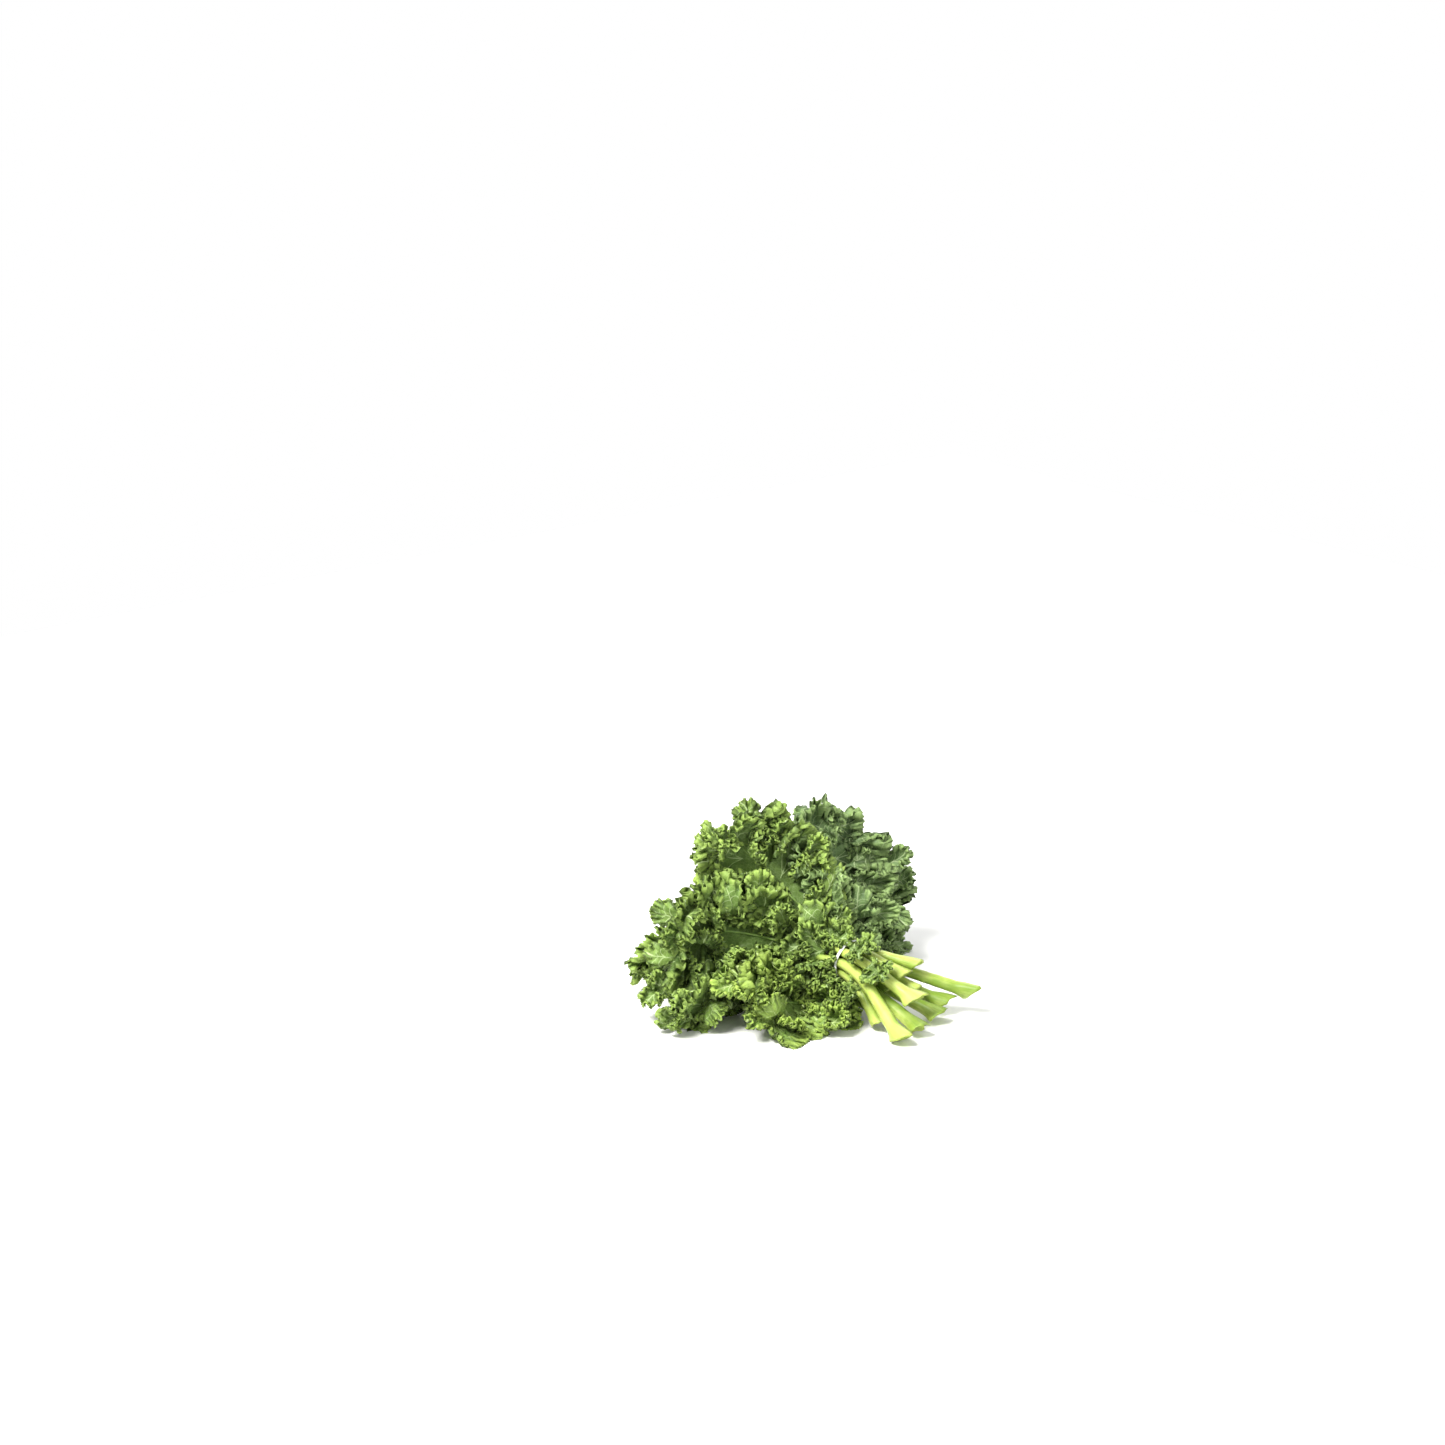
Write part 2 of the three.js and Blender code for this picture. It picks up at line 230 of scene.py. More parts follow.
@dataclass(frozen=True)
class LeafFinish:
    """Living kale leaf: matt, waxy skin (IOR 1.42, roughness about 0.5) on puckered flesh.

    The wax keeps the shine soft and turns the green bluish. The frilled margin is thin, so light
    comes through it yellower, and its folds are dark inside: their hollows get painted shade, their
    crests and the margin a painted highlight, and sheets under others painted shade too. The veins
    are pale and stand out.
    The finest real crinkles are under 1 mm and would not show, so they are drawn 3 mm apart.
    """

    tone: Tone
    roughness: float = 0.5
    cloud: float = 22.0  # mm across a patch of lighter or darker green
    crinkle: float = 3.0  # mm between crinkles
    net: float = 4.5  # mm between the finest veins that still show
    vein: float = 0.75  # mm, half the width of a side vein at the midrib
    vein_taper: float = 0.7  # share of that width that it loses by the margin
    veins: tuple[Vein, ...] = (
        Vein(1.0, 0.0, 1.0),
        Vein(0.14, 0.75, 0.75),
        Vein(0.38, 0.8, 0.6),
        Vein(0.6, 0.8, 0.5),
    )
    through: float = 0.14  # share of the light that passes through the flesh
    depth: str = "#102203"  # painted shade: the dark colour put in the folds' hollows and on sheets that lie under other leaves

    def vein_mask(self, tree: bpy.types.NodeTree) -> bpy.types.Node:
        """Draws each lobe's side vein and its pairs of branches.

        Args:
            tree: The material's node tree.

        Returns:
            A node that is 1 on a vein and 0 beside it.
        """
        add = partial(add_node, tree)
        course = add("Attribute", {"attribute_name": "course"}).outputs["Vector"]
        turn, share, spacing = add("SeparateXYZ", None, {0: course}).outputs
        aside = add("Math", {"operation": "PINGPONG"}, {0: turn, 1: 0.5})
        aside = add("Math", {"operation": "SUBTRACT"}, {0: 0.5, 1: aside})
        width = {0: share, 1: -self.vein_taper * self.vein, 2: self.vein}
        taper = add("Math", {"operation": "MULTIPLY_ADD"}, width)
        found = 0.0
        for vein in self.veins:
            past = add("Math", {"operation": "SUBTRACT"}, {0: share, 1: vein.start})
            past = add("Math", {"operation": "MAXIMUM"}, {0: past, 1: 0.0})
            off = add("Math", {"operation": "MULTIPLY_ADD"}, {0: past, 1: -vein.slope, 2: aside})
            off = add("Math", {"operation": "ABSOLUTE"}, {0: off})
            off = add("Math", {"operation": "MULTIPLY"}, {0: off, 1: spacing})
            near = add("Math", {"operation": "DIVIDE"}, {0: off, 1: taper})
            line = add("MapRange", SMOOTH, {0: near, 1: 0.3, 2: 1.5, 3: vein.strength, 4: 0.0})
            if vein.slope:
                begun = add("MapRange", SMOOTH, {0: share, 1: vein.start, 2: vein.start + 0.04})
                line = add("Math", {"operation": "MULTIPLY"}, {0: line, 1: begun})
            found = add("Math", {"operation": "MAXIMUM"}, {0: line, 1: found})
        return found

    def material(self) -> bpy.types.Material:
        """Makes the leaf's material.

        Returns:
            The node material.
        """
        material, tree = new_material(f"kale_leaf_{self.tone.name.lower()}")
        add = partial(add_node, tree)
        flesh, shade, edge, vein = (linear(code) for code in self.tone.value)
        depth = linear(self.depth)
        lie = add("Attribute", {"attribute_name": "lie"}).outputs["Vector"]
        frill = add("Attribute", {"attribute_name": "frill"}).outputs["Vector"]
        relief, rim, tint = add("SeparateXYZ", None, {0: frill}).outputs
        veins = self.vein_mask(tree)
        cloud = add("TexNoise", None, {"Vector": lie, "Scale": 1 / self.cloud, "Detail": 4.0})
        speck = add("TexNoise", None, {"Vector": lie, "Scale": 1 / self.crinkle, "Detail": 5.0})
        cells = add("TexVoronoi", {"feature": "DISTANCE_TO_EDGE"}, {"Vector": lie, "Scale": 1 / self.net})
        net = add("MapRange", SMOOTH, {0: cells, 1: 0.0, 2: 0.16, 3: 1.0, 4: 0.0})
        frilled = add("MapRange", SMOOTH, {0: rim, 1: 0.35, 2: 0.9, 3: 0.35, 4: 1.0})
        crest = add("Math", {"operation": "MULTIPLY"}, {0: speck, 1: frilled})
        layers = (
            (cloud, 0.65, 0.35, 1.0, shade),
            (net, 0.0, 1.0, 0.16, vein),
            # painted highlight on the crests of the fine crinkles in the frill
            (crest, 0.35, 0.75, 0.5, edge),
            # painted highlight on the crests of the folds
            (relief, -0.9, 0.9, 0.5, edge),
            # painted highlight along the margin
            (rim, 0.75, 1.0, 0.5, edge),
            (tint, 0.0, 1.0, 0.3, edge),
            # painted shade on sheets whose tint is below 0, such as main sheets under the lobes
            (tint, 0.0, -1.0, 0.5, depth),
            # painted shade in the hollows of the folds
            (relief, 0.1, -0.85, 0.8, depth),
            (veins, 0.0, 1.0, 0.85, vein),
        )
        colour = layered(tree, flesh, layers)
        height = 0.0
        for source, amount in ((speck, 0.6), (crest, 1.1), (net, -0.3), (veins, 0.7)):
            height = add("Math", {"operation": "MULTIPLY_ADD"}, {0: source, 1: amount, 2: height})
        bump = add("Bump", None, {"Strength": 0.6, "Distance": 0.8 * MM, "Height": height})
        rough = add("MapRange", None, {0: speck, 3: self.roughness - 0.08, 4: self.roughness + 0.12})
        skin = {
            "Base Color": colour,
            "Roughness": rough,
            "IOR": 1.42,
            "Specular IOR Level": 0.3,
            "Normal": bump,
        }
        shader = add("BsdfPrincipled", None, skin)
        glow = add("BsdfTranslucent", None, {"Color": edge, "Normal": bump})
        leaf = add("MixShader", None, {0: self.through, 1: shader, 2: glow})
        add("OutputMaterial", None, {"Surface": leaf})
        return material


@dataclass(frozen=True)
class StemFinish:
    """Kale stem: crisp, juicy skin (IOR 1.4, roughness about 0.4), smooth along its fibres.

    It is lime below and leaf green where it becomes the midrib. Light sinks a few millimetres
    into it, so it looks soft rather than painted. A cut end is paler, and darker in its hollow.
    The side that looks out of the bunch has a painted highlight, the side towards its axis
    painted shade.
    """

    lime: str = "#859d38"
    pale: str = "#adbb62"
    outer: str = "#bdcb6c"  # painted highlight on the side that looks out of the bunch
    # grass green is also the painted shade on the side towards the axis
    grass: str = "#5f7d2a"
    rib: str = "#7d9b4e"
    flesh: str = "#a3b65a"
    fibre: float = 0.9  # mm between the fibres that show
    patch: float = 17.0  # mm across a paler patch
    roughness: float = 0.38

    def material(self) -> bpy.types.Material:
        """Makes the stem's material.

        Returns:
            The node material.
        """
        material, tree = new_material("kale_stem")
        add = partial(add_node, tree)
        straight = add("Attribute", {"attribute_name": "straight"}).outputs["Vector"]
        kind = add("Attribute", {"attribute_name": "kind"}).outputs["Vector"]
        rib, face, hollow = add("SeparateXYZ", None, {0: kind}).outputs
        painted_light_side = add("SeparateXYZ", None, {0: straight}).outputs[1]
        stretch = add("Mapping", None, {"Vector": straight, "Scale": (1, 1, 0.06)})
        fibres = add("TexNoise", None, {"Vector": stretch, "Scale": 1 / self.fibre, "Detail": 3.0})
        broad = add("TexNoise", None, {"Vector": straight, "Scale": 1 / self.patch, "Detail": 3.0})
        cut = add("Mix", RGBA, {0: hollow, 6: linear(self.flesh), 7: linear(self.grass)})
        layers = (
            (broad, 0.35, 0.7, 1.0, linear(self.pale)),
            (fibres, 0.42, 0.75, 0.6, linear(self.grass)),
            # painted highlight on the side that looks out of the bunch, painted shade on the side towards
            # the axis
            (painted_light_side, 0.5, 4.5, 0.5, linear(self.outer)),
            (painted_light_side, 0.0, -4.5, 0.5, linear(self.grass)),
            (rib, 0.0, 1.0, 1.0, linear(self.rib)),
            (face, 0.0, 1.0, 1.0, cut),
        )
        height = add("Math", {"operation": "MULTIPLY_ADD"}, {0: broad, 1: 2.0, 2: fibres})
        rough = add("MapRange", None, {0: fibres, 3: self.roughness - 0.06, 4: self.roughness + 0.14})
        skin = {
            "Base Color": layered(tree, linear(self.lime), layers),
            "Roughness": rough,
            "IOR": 1.4,
            "Subsurface Weight": 0.25,
            "Subsurface Radius": (0.004, 0.005, 0.0015),
            "Subsurface Scale": 1.0,
            "Normal": add("Bump", None, {"Strength": 0.5, "Distance": 0.35 * MM, "Height": height}),
        }
        add("OutputMaterial", None, {"Surface": add("BsdfPrincipled", None, skin)})
        return material


@dataclass(frozen=True)
class TieFinish:
    """Twist tie: white satin plastic (IOR 1.46, roughness 0.4) over a wire, with fine creases."""

    white: str = "#eceee6"
    grey: str = "#c9cdc2"
    crease: float = 2.4  # mm between creases
    roughness: float = 0.4

    def material(self) -> bpy.types.Material:
        """Makes the tie's material.

        Returns:
            The node material.
        """
        material, tree = new_material("plastic_twist_tie")
        add = partial(add_node, tree)
        place = add("TexCoord").outputs["Object"]
        crease = add("TexNoise", None, {"Vector": place, "Scale": 1 / (self.crease * MM), "Detail": 3.0})
        strip = {
            "Base Color": layered(tree, linear(self.white), ((crease, 0.4, 0.8, 1.0, linear(self.grey)),)),
            "Roughness": self.roughness,
            "IOR": 1.46,
            "Normal": add("Bump", None, {"Strength": 0.3, "Distance": 0.2 * MM, "Height": crease}),
        }
        add("OutputMaterial", None, {"Surface": add("BsdfPrincipled", None, strip)})
        return material


@dataclass(frozen=True)
class FloorFinish:
    """Matt white laminate (IOR 1.5, roughness 0.7): even, without a visible reflection."""

    white: str = "#f4f4f2"
    roughness: float = 0.7

    def material(self) -> bpy.types.Material:
        """Makes the floor's material.

        Returns:
            The node material.
        """
        material, tree = new_material("white_laminate")
        inputs = {"Base Color": linear(self.white), "Roughness": self.roughness, "IOR": 1.5}
        shader = add_node(tree, "BsdfPrincipled", None, inputs)
        add_node(tree, "OutputMaterial", None, {"Surface": shader})
        return material


# ---- How the leaves lie ----


@dataclass(frozen=True)
class Rosette:
    """The fan of leaves round the bunch's axis, before and after it is laid down.

    A layer is 0 at the axis and 1 on the outside. A ramp holds the two lengths between which
    something sets in.
    """

    neck_height: float = 54  # of the axis over the surface at the tie
    ring_seat: float = 16.8  # from the axis to the outer stems at the tie
    splay_start: float = 14  # angle at which an outer leaf leaves the tie
    splay_bend: float = 0.41  # degrees that it bends outwards over each millimetre
    least_bend: float = 0.02  # share of that bend which the innermost leaves still have
    hang_bend: float = 75  # degrees by which a leaf in the layer past the outer one hangs back
    layer_tilt: float = 0.13  # layers that a blade climbs over each radian round the axis
    hanging_layer: float = 1.4  # past this layer a leaf hangs beside the stems
    hanging_tilt: float = -0.4  # and its blade climbs by this
    seat_ramp: tuple[float, float] = (0, 45)  # where a leaf goes from its seat to its own layer
    turn_ramp: tuple[float, float] = (10, 70)  # and to its own angle
    tilt_ramp: tuple[float, float] = (10, 60)
    swing_ramp: tuple[float, float] = (30, 120)  # where a blade opens round the axis
    swing_least: float = 16  # from this angle to each side
    swing_inner: float = 72  # to this one
    swing_outer: float = 88  # or this one
    up_share: float = 0.9  # share of its height over the axis that a leaf keeps
    up_ramp: tuple[float, float] = (10, 60)
    press_start: float = 12  # depth under the axis where the surface begins to press the leaves
    press_softness: float = 29.5  # and how gently: they give way over about this depth
    warp_reach: float = 8  # by which the leaves stray from the even fan
    warp_length: float = 190  # over which they stray to and fro
    warp_far: tuple[float, float] = (25, 95)
    warp_up: tuple[float, float] = (-50, 10)
    warp_waves: tuple[tuple[float, float], ...] = ((0.4, 0.7), (0.5, 2.1), (-0.6, 4.0))  # slant, radians

    def point(self, along: Array, layer: Array, around: Array, outside: Array | float = 0.0) -> Array:
        """Finds places in the fan.

        Args:
            along: The distance from the tie along a leaf.
            layer: The layer.
            around: The angle round the axis, in radians, from the top towards +Y.
            outside: The distance outside that layer.

        Returns:
            The places, before the fan is laid down.
        """
        first = np.radians(self.splay_start * layer + self.hang_bend * np.maximum(0, layer - 1))
        bend = np.radians(self.splay_bend * np.clip(layer, self.least_bend, 1))
        angle = first + bend * along
        axial = (np.sin(angle) - np.sin(first)) / bend
        radial = (np.cos(first) - np.cos(angle)) / bend
        reach = self.ring_seat * layer + radial + np.cos(angle) * outside
        x = np.sin(angle) * outside - axial
        return np.stack(np.broadcast_arrays(x, np.sin(around) * reach, np.cos(around) * reach), -1)

    def laid_down(self, points: Array) -> Array:
        """Lays the fan down on the surface, which presses its lower leaves, and lets it stray.

        Args:
            points: Places in the fan.

        Returns:
            The same places from the tie's foot.
        """
        x, y, z = np.moveaxis(points, -1, 0)
        deep = np.maximum(-z - self.press_start, 0)
        low = -self.press_start - self.press_softness * np.log1p(deep / self.press_softness)
        kept = np.where(z > 0, lerp(1, self.up_share, smoothstep(z, *self.up_ramp)), 1)
        place = (x, y, np.where(deep > 0, low, z * kept))
        far = np.sqrt(x * x + y * y + place[2] * place[2])
        reach = self.warp_reach * smoothstep(far, *self.warp_far) * smoothstep(place[2], *self.warp_up)
        turn = 2 * math.pi / self.warp_length
        moved = []
        for axis, (slant, phase) in enumerate(self.warp_waves):
            course = place[(axis + 1) % 3] + slant * place[(axis + 2) % 3]
            moved.append(place[axis] + reach * np.sin(turn * course + phase))
        moved[2] = moved[2] + self.neck_height
        return np.stack(moved, -1)


ROSETTE = Rosette()


@dataclass(frozen=True)
class Leaf:
    """One leaf: where its stem passes the tie, where its blade lies, and its sizes."""

    name: str
    seat: tuple[float, float]  # its layer and its angle round the axis at the tie
    layer: float  # its layer beyond the tie
    around: float  # its angle round the axis, from the top towards +Y
    length: float  # from the tie to its tip
    half: float  # half its blade's width
    cut: tuple[float, float, float]  # the middle of its stem's cut end, from the tie's foot
    stem: float  # its stem's radius at the tie
    tone: Tone = Tone.DEEP
    stem_growth: float = 0.35  # by which the stem is thicker at the cut end
    growth_ramp: tuple[float, float] = (0, 120)
    stem_taper: float = 0.8  # by which the midrib is thinner at its tip
    taper_start: float = -40
    taper_end: float = 0.9  # share of the leaf's length
    first_share: float = 0.36  # of the way to the tie where the stem's curve is first steered to
    level_share: float = 0.42  # and how far before the tie it is level
    step: float = 0.5  # over which its surface's directions are measured

    @property
    def seed(self) -> int:
        """The leaf's own random seed."""
        return 100 * int(self.name)

    @property
    def inner(self) -> bool:
        """Whether it belongs to the bunch's core."""
        return self.layer < 0.5

    @property
    def outside(self) -> bool:
        """Whether it shows on the bunch's outside."""
        return self.layer > 0.8

    @property
    def hangs(self) -> bool:
        """Whether it hangs beside the stems."""
        return self.layer > ROSETTE.hanging_layer

    @property
    def blade_start(self) -> float:
        """Where its blade begins, from the tie."""
        return 58 if self.inner else 10

    def lie(self, along: Array) -> tuple[Array, Array, Array]:
        """Finds how it lies round the axis.

        Args:
            along: Distances from the tie.

        Returns:
            Its layer, its distance from the axis, and in radians its widest swing to each side.
        """
        middle = lerp(self.seat[0], self.layer, smoothstep(along, *ROSETTE.seat_ramp))
        radius = ROSETTE.point(along, middle, 0.0)[..., 2]
        full = ROSETTE.swing_inner if self.inner else ROSETTE.swing_outer
        opened = smoothstep(along, *ROSETTE.swing_ramp)
        return middle, radius, np.radians(lerp(ROSETTE.swing_least, full, opened))

    def point(self, along: Array, sideways: Array | float = 0.0, outside: Array | float = 0.0) -> Array:
        """Finds places on the leaf's even surface, or outside it.

        Args:
            along: Distances from the tie.
            sideways: Distances from the midrib.
            outside: Distances from the surface, away from the bunch's axis.

        Returns:
            The places from the tie's foot.
        """
        middle, radius, widest = self.lie(along)
        swing = widest * np.tanh(sideways / radius / widest)
        turned = smoothstep(along, *ROSETTE.turn_ramp)
        around = np.radians(lerp(self.seat[1], self.around, turned)) + swing
        tilt = ROSETTE.hanging_tilt if self.hangs else ROSETTE.layer_tilt
        layer = middle + tilt * swing * smoothstep(along, *ROSETTE.tilt_ramp)
        return ROSETTE.laid_down(ROSETTE.point(along, layer, around, outside))

    def axes(self, along: Array, sideways: Array | float = 0.0) -> tuple[Array, Array, Array]:
        """Finds places on the even surface and how it faces there.

        Args:
            along: Distances from the tie.
            sideways: Distances from the midrib.

        Returns:
            The places, and the directions towards the tip and outwards.
        """
        point = self.point(along, sideways)
        ahead = unit(self.point(along + self.step, sideways) - point)
        beside = self.point(along, sideways + self.step) - point
        return point, ahead, unit(np.cross(beside, ahead))

    def stem_radius(self, along: Array) -> Array:
        """Finds the radius of stem and midrib.

        Args:
            along: Distances from the tie, negative towards the cut end.

        Returns:
            The radius at each.
        """
        below = self.stem * (1 + self.stem_growth * smoothstep(-along, *self.growth_ramp))
        thinned = smoothstep(along, self.taper_start, self.length * self.taper_end)
        return np.where(along < 0, below, self.stem * (1 - self.stem_taper * thinned))

    def stem_line(self, count: int = 400) -> tuple[Array, Array]:
        """Draws the stem's middle line, a cubic curve that enters the tie level.

        Args:
            count: How many points the line has.

        Returns:
            Its points from the cut end to the tie, and their distances to the tie, all negative.
        """
        seat = self.point(np.array(0.0))
        cut = np.array(self.cut)
        first = lerp(cut, seat, self.first_share)
        level = seat + np.array([self.level_share * (cut[0] - seat[0]), 0, 0])
        t = np.linspace(0, 1, count)[:, None]
        line = (1 - t) ** 3 * cut + 3 * (1 - t) ** 2 * t * first
        line = line + 3 * (1 - t) * t * t * level + t**3 * seat
        steps = np.linalg.norm(np.diff(line, axis=0), axis=1)
        gone = np.concatenate([[0], np.cumsum(steps)])
        return line, gone - gone[-1]


LEAVES = (
    Leaf("01", (1, -80), 1.0, -76, 232, 88, (111, -27, 7.6), 5.4, Tone.DEEP),
    Leaf("02", (1, -40), 0.97, -26, 210, 84, (92, 8, 35), 5.4, Tone.DEEP),
    Leaf("03", (1, 40), 0.95, 34, 210, 86, (60, 38, 58), 5.2, Tone.BLUE),
    Leaf("04", (1, 120), 0.905, 100, 220, 85, (75, 64, 14), 5.2, Tone.BLUE),
    Leaf("05", (1, -160), 1.62, -108, 152, 94, (106, 2, 10), 5.4, Tone.FRESH),
    Leaf("06", (1, -120), 1.18, -110, 220, 88, (66, -19, 9), 5.0, Tone.DEEP),
    Leaf("07", (1, 160), 0.605, 168, 225, 74, (90, 42, 11), 5.2, Tone.BLUE),
    Leaf("08", (1, 80), 0.535, 69, 235, 74, (95, 84, 27), 5.0, Tone.DEEP),
    Leaf("09", (1, 0), 0.51, -11, 225, 70, (60, 20, 51), 5.0, Tone.FRESH),
    Leaf("10", (0.34, -100), 0.57, -106, 248, 68, (43, -3, 43), 4.1, Tone.DEEP),
    Leaf("11", (0.34, 20), 0.185, 21, 258, 62, (66, 32, 35), 4.2, Tone.FRESH),
    Leaf("12", (0.34, 140), 0.2, 139, 250, 45, (52, 9, 37), 4.1, Tone.FRESH),
)


@dataclass(frozen=True)
class Room:
    """The room that the bunch may fill: the frame's box, and a little round it."""

    share: float = 0.03  # room to each side, for the box's size
    spare: float = 7.0  # and this much more
    lowest: float = 0.35  # least height over the surface
    softness: float = 12.0  # depth over which a side slows what runs against it
    soft_foot: tuple[float, float, float] = (12.0, 12.0, 3.0)  # the same for its lower corner

    def hold(self, points: Array) -> Array:
        """Keeps places inside the room.

        Args:
            points: Places in the frame, in millimetres.

        Returns:
            The places, with those near a side eased back from it.
        """
        low, high = (np.array(corner) / MM for corner in CAD_BOX)
        spare = self.share * (high - low) + self.spare
        low, high = low - spare, high + spare
        low[2] = self.lowest
        last = high - self.softness
        over = points - last
        points = np.where(over > 0, last + self.softness * np.tanh(over / self.softness), points)
        reach = np.array(self.soft_foot)
        under = (low + reach) - points
        return np.where(under > 0, low + reach - reach * np.tanh(under / reach), points)


def neck_place() -> Array:
    """Finds the bunch's neck from the box of the frame's tie, whose low corner the band gives.

    Returns:
        The middle of the tie in the frame, in millimetres.
    """
    tie = Tie()
    low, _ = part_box("tie")
    return np.array(low) / MM + np.array([tie.width / 2, tie.outer, tie.outer])


def placed(points: Array) -> Array:
    """Places the bunch's points in the frame.

    Args:
        points: Millimetres from the tie's foot.

    Returns:
        The places in metres, inside the room that the bunch may fill.
    """
    neck = neck_place()
    return Room().hold(points + np.array([neck[0], neck[1], neck[2] - ROSETTE.neck_height])) * MM


# ---- Pieces ----


def new_piece(name: str, bm: bmesh.types.BMesh, material: bpy.types.Material) -> bpy.types.Object:
    """Makes a smooth-shaded piece that rides on the bunch.

    Args:
        name: The piece's name.
        bm: Its shape, which is freed.
        material: Its material.

    Returns:
        The object.
    """
    mesh = bpy.data.meshes.new(name)
    bm.to_mesh(mesh)
    bm.free()
    mesh.polygons.foreach_set("use_smooth", [True] * len(mesh.polygons))
    mesh.materials.append(material)
    piece = bpy.data.objects.new(name, mesh)
    bpy.context.scene.collection.objects.link(piece)
    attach(piece, "root")
    return piece


def vertex_places(piece: bpy.types.Object) -> Array:
    """Reads where a piece's vertices are.

    Args:
        piece: The piece.

    Returns:
        Their places, one to a row.
    """
    places = np.zeros(len(piece.data.vertices) * 3, np.float32)
    piece.data.vertices.foreach_get("co", places)
    return places.reshape(-1, 3).astype(float)


def move_vertices(piece: bpy.types.Object, points: Array) -> None:
    """Moves every vertex of the piece."""
    piece.data.vertices.foreach_set("co", points.astype(np.float32).ravel())
    piece.data.update()


def store(piece: bpy.types.Object, name: str, values: Array) -> None:
    """Keeps a vector for each vertex of the piece, for its material to read."""
    attribute = piece.data.attributes.new(name, "FLOAT_VECTOR", "POINT")
    attribute.data.foreach_set("vector", values.astype(np.float32).ravel())


# ---- Sheets of leaf ----


@dataclass(frozen=True)
class Ruffle:
    """One generation of waves along a sheet's margin."""

    length: float  # from crest to crest
    rise: float  # of a crest over the sheet
    lean: float  # share of its length by which a fold overhangs its foot
    first: float  # share of the way to the margin where it starts
    seed: int
    stray: float = 1.3  # radians by which folds come early or late along the margin
    slant: float = 0.9  # radians by which they run askew to it
    uneven: float = 0.35  # share by which some rise more than others
    gauge: float = 0.75  # share of the rows at which the margin's length is measured
    across: float = 40  # from the midrib to the margin, for the noise that sets them askew

    def fold(self, sheet: Array, share: Array, room: Array) -> tuple[Array, Array]:
        """Folds a sheet.

        Args:
            sheet: Its points, by column and row.
            share: Each row's share of the way from the midrib to the margin.
            room: How much of the rise there is room for, by column and row.

        Returns:
            The folded points, and the height of each on its fold from -1 to 1.
        """
        ahead = np.gradient(sheet, axis=0)
        normal = unit(np.cross(ahead, np.gradient(sheet, axis=1)))
        gauge = int(self.gauge * sheet.shape[1])  # the noises below are some folds long
        gone = np.cumsum(np.linalg.norm(ahead[:, gauge], axis=-1))
        phase = 2 * math.pi * gone / self.length
        phase = phase + self.stray * Sway(self.seed, 5 * self.length)(gone)
        askew = Sway(self.seed + 1, 3 * self.length)(gone[:, None], self.across * share[None, :])
        phase = phase[:, None] + self.slant * askew
        size = self.rise * smoothstep(share, self.first, 1.0)[None, :] * room
        size = size * (1 + self.uneven * Sway(self.seed + 2, 2.5 * self.length)(gone))[:, None]
        wave = np.sin(phase)
        lean = -self.lean * self.length * np.sin(2 * phase) * size / self.rise
        moved = sheet + normal * (size * wave)[..., None] + unit(ahead) * lean[..., None]
        return moved, wave


@dataclass(frozen=True)
class Lobes:
    """How a sheet is parted into lobes that overlap like slats along its middle vein.

    A ramp holds the shares of the way to the margin between which something sets in.
    """

    each_side: float = 5.5  # lobes between the tip and the base
    spread: float = 22  # mm by which a lobe's end opens to each side of its vein
    tilt: float = 32  # degrees that a lobe is turned about its vein
    sinus: float = 0.8  # share of the sheet cut away in the gap between two lobes
    cuff: float = 0.08  # how far the margin stands up, for the lobe's length
    curl: tuple[float, float] = (-0.05, 0.3)  # least and most rise of a lobe's end, for its length
    vein_reach: float = 0.84  # share of the sheet's length that its middle vein has
    crowding: float = 1.25  # above 1, the lobes crowd towards the base
    wander: float = 0.03  # how far their places on the margin wander
    wander_rate: float = 5  # radians of that wandering from the tip to the base
    fanning: float = 1.25  # how far a lobe's end fans out, for its spread
    fan_end: int = 7  # the higher, the later that fanning turns back at the lobe's side
    fan_length: float = 1.3  # the shortest lobe that fans out in full, for its spread
    blend: int = 5  # the higher, the further aside a lobe reaches as far as at its middle
    sinus_start: float = 0.55  # where that gap begins, from a lobe's vein at 0 to its side at 1
    sinus_ramp: tuple[float, float] = (0.0, 0.5)
    shoulder: float = 0.12  # share of its length that a lobe's side is shorter
    cuff_ramp: tuple[float, float] = (0.5, 1.0)
    cuff_draw: float = 0.4  # how far a margin that stands up is drawn in, for its height
    curl_ramp: tuple[float, float] = (0.1, 1.0)
    tilt_range: tuple[float, float] = (0.5, 1.4)  # least and most, for the tilt
    tip_tilt: float = 0.3  # the tip lobe's, for the others'
    most: int = 64  # lobes that random numbers are drawn for


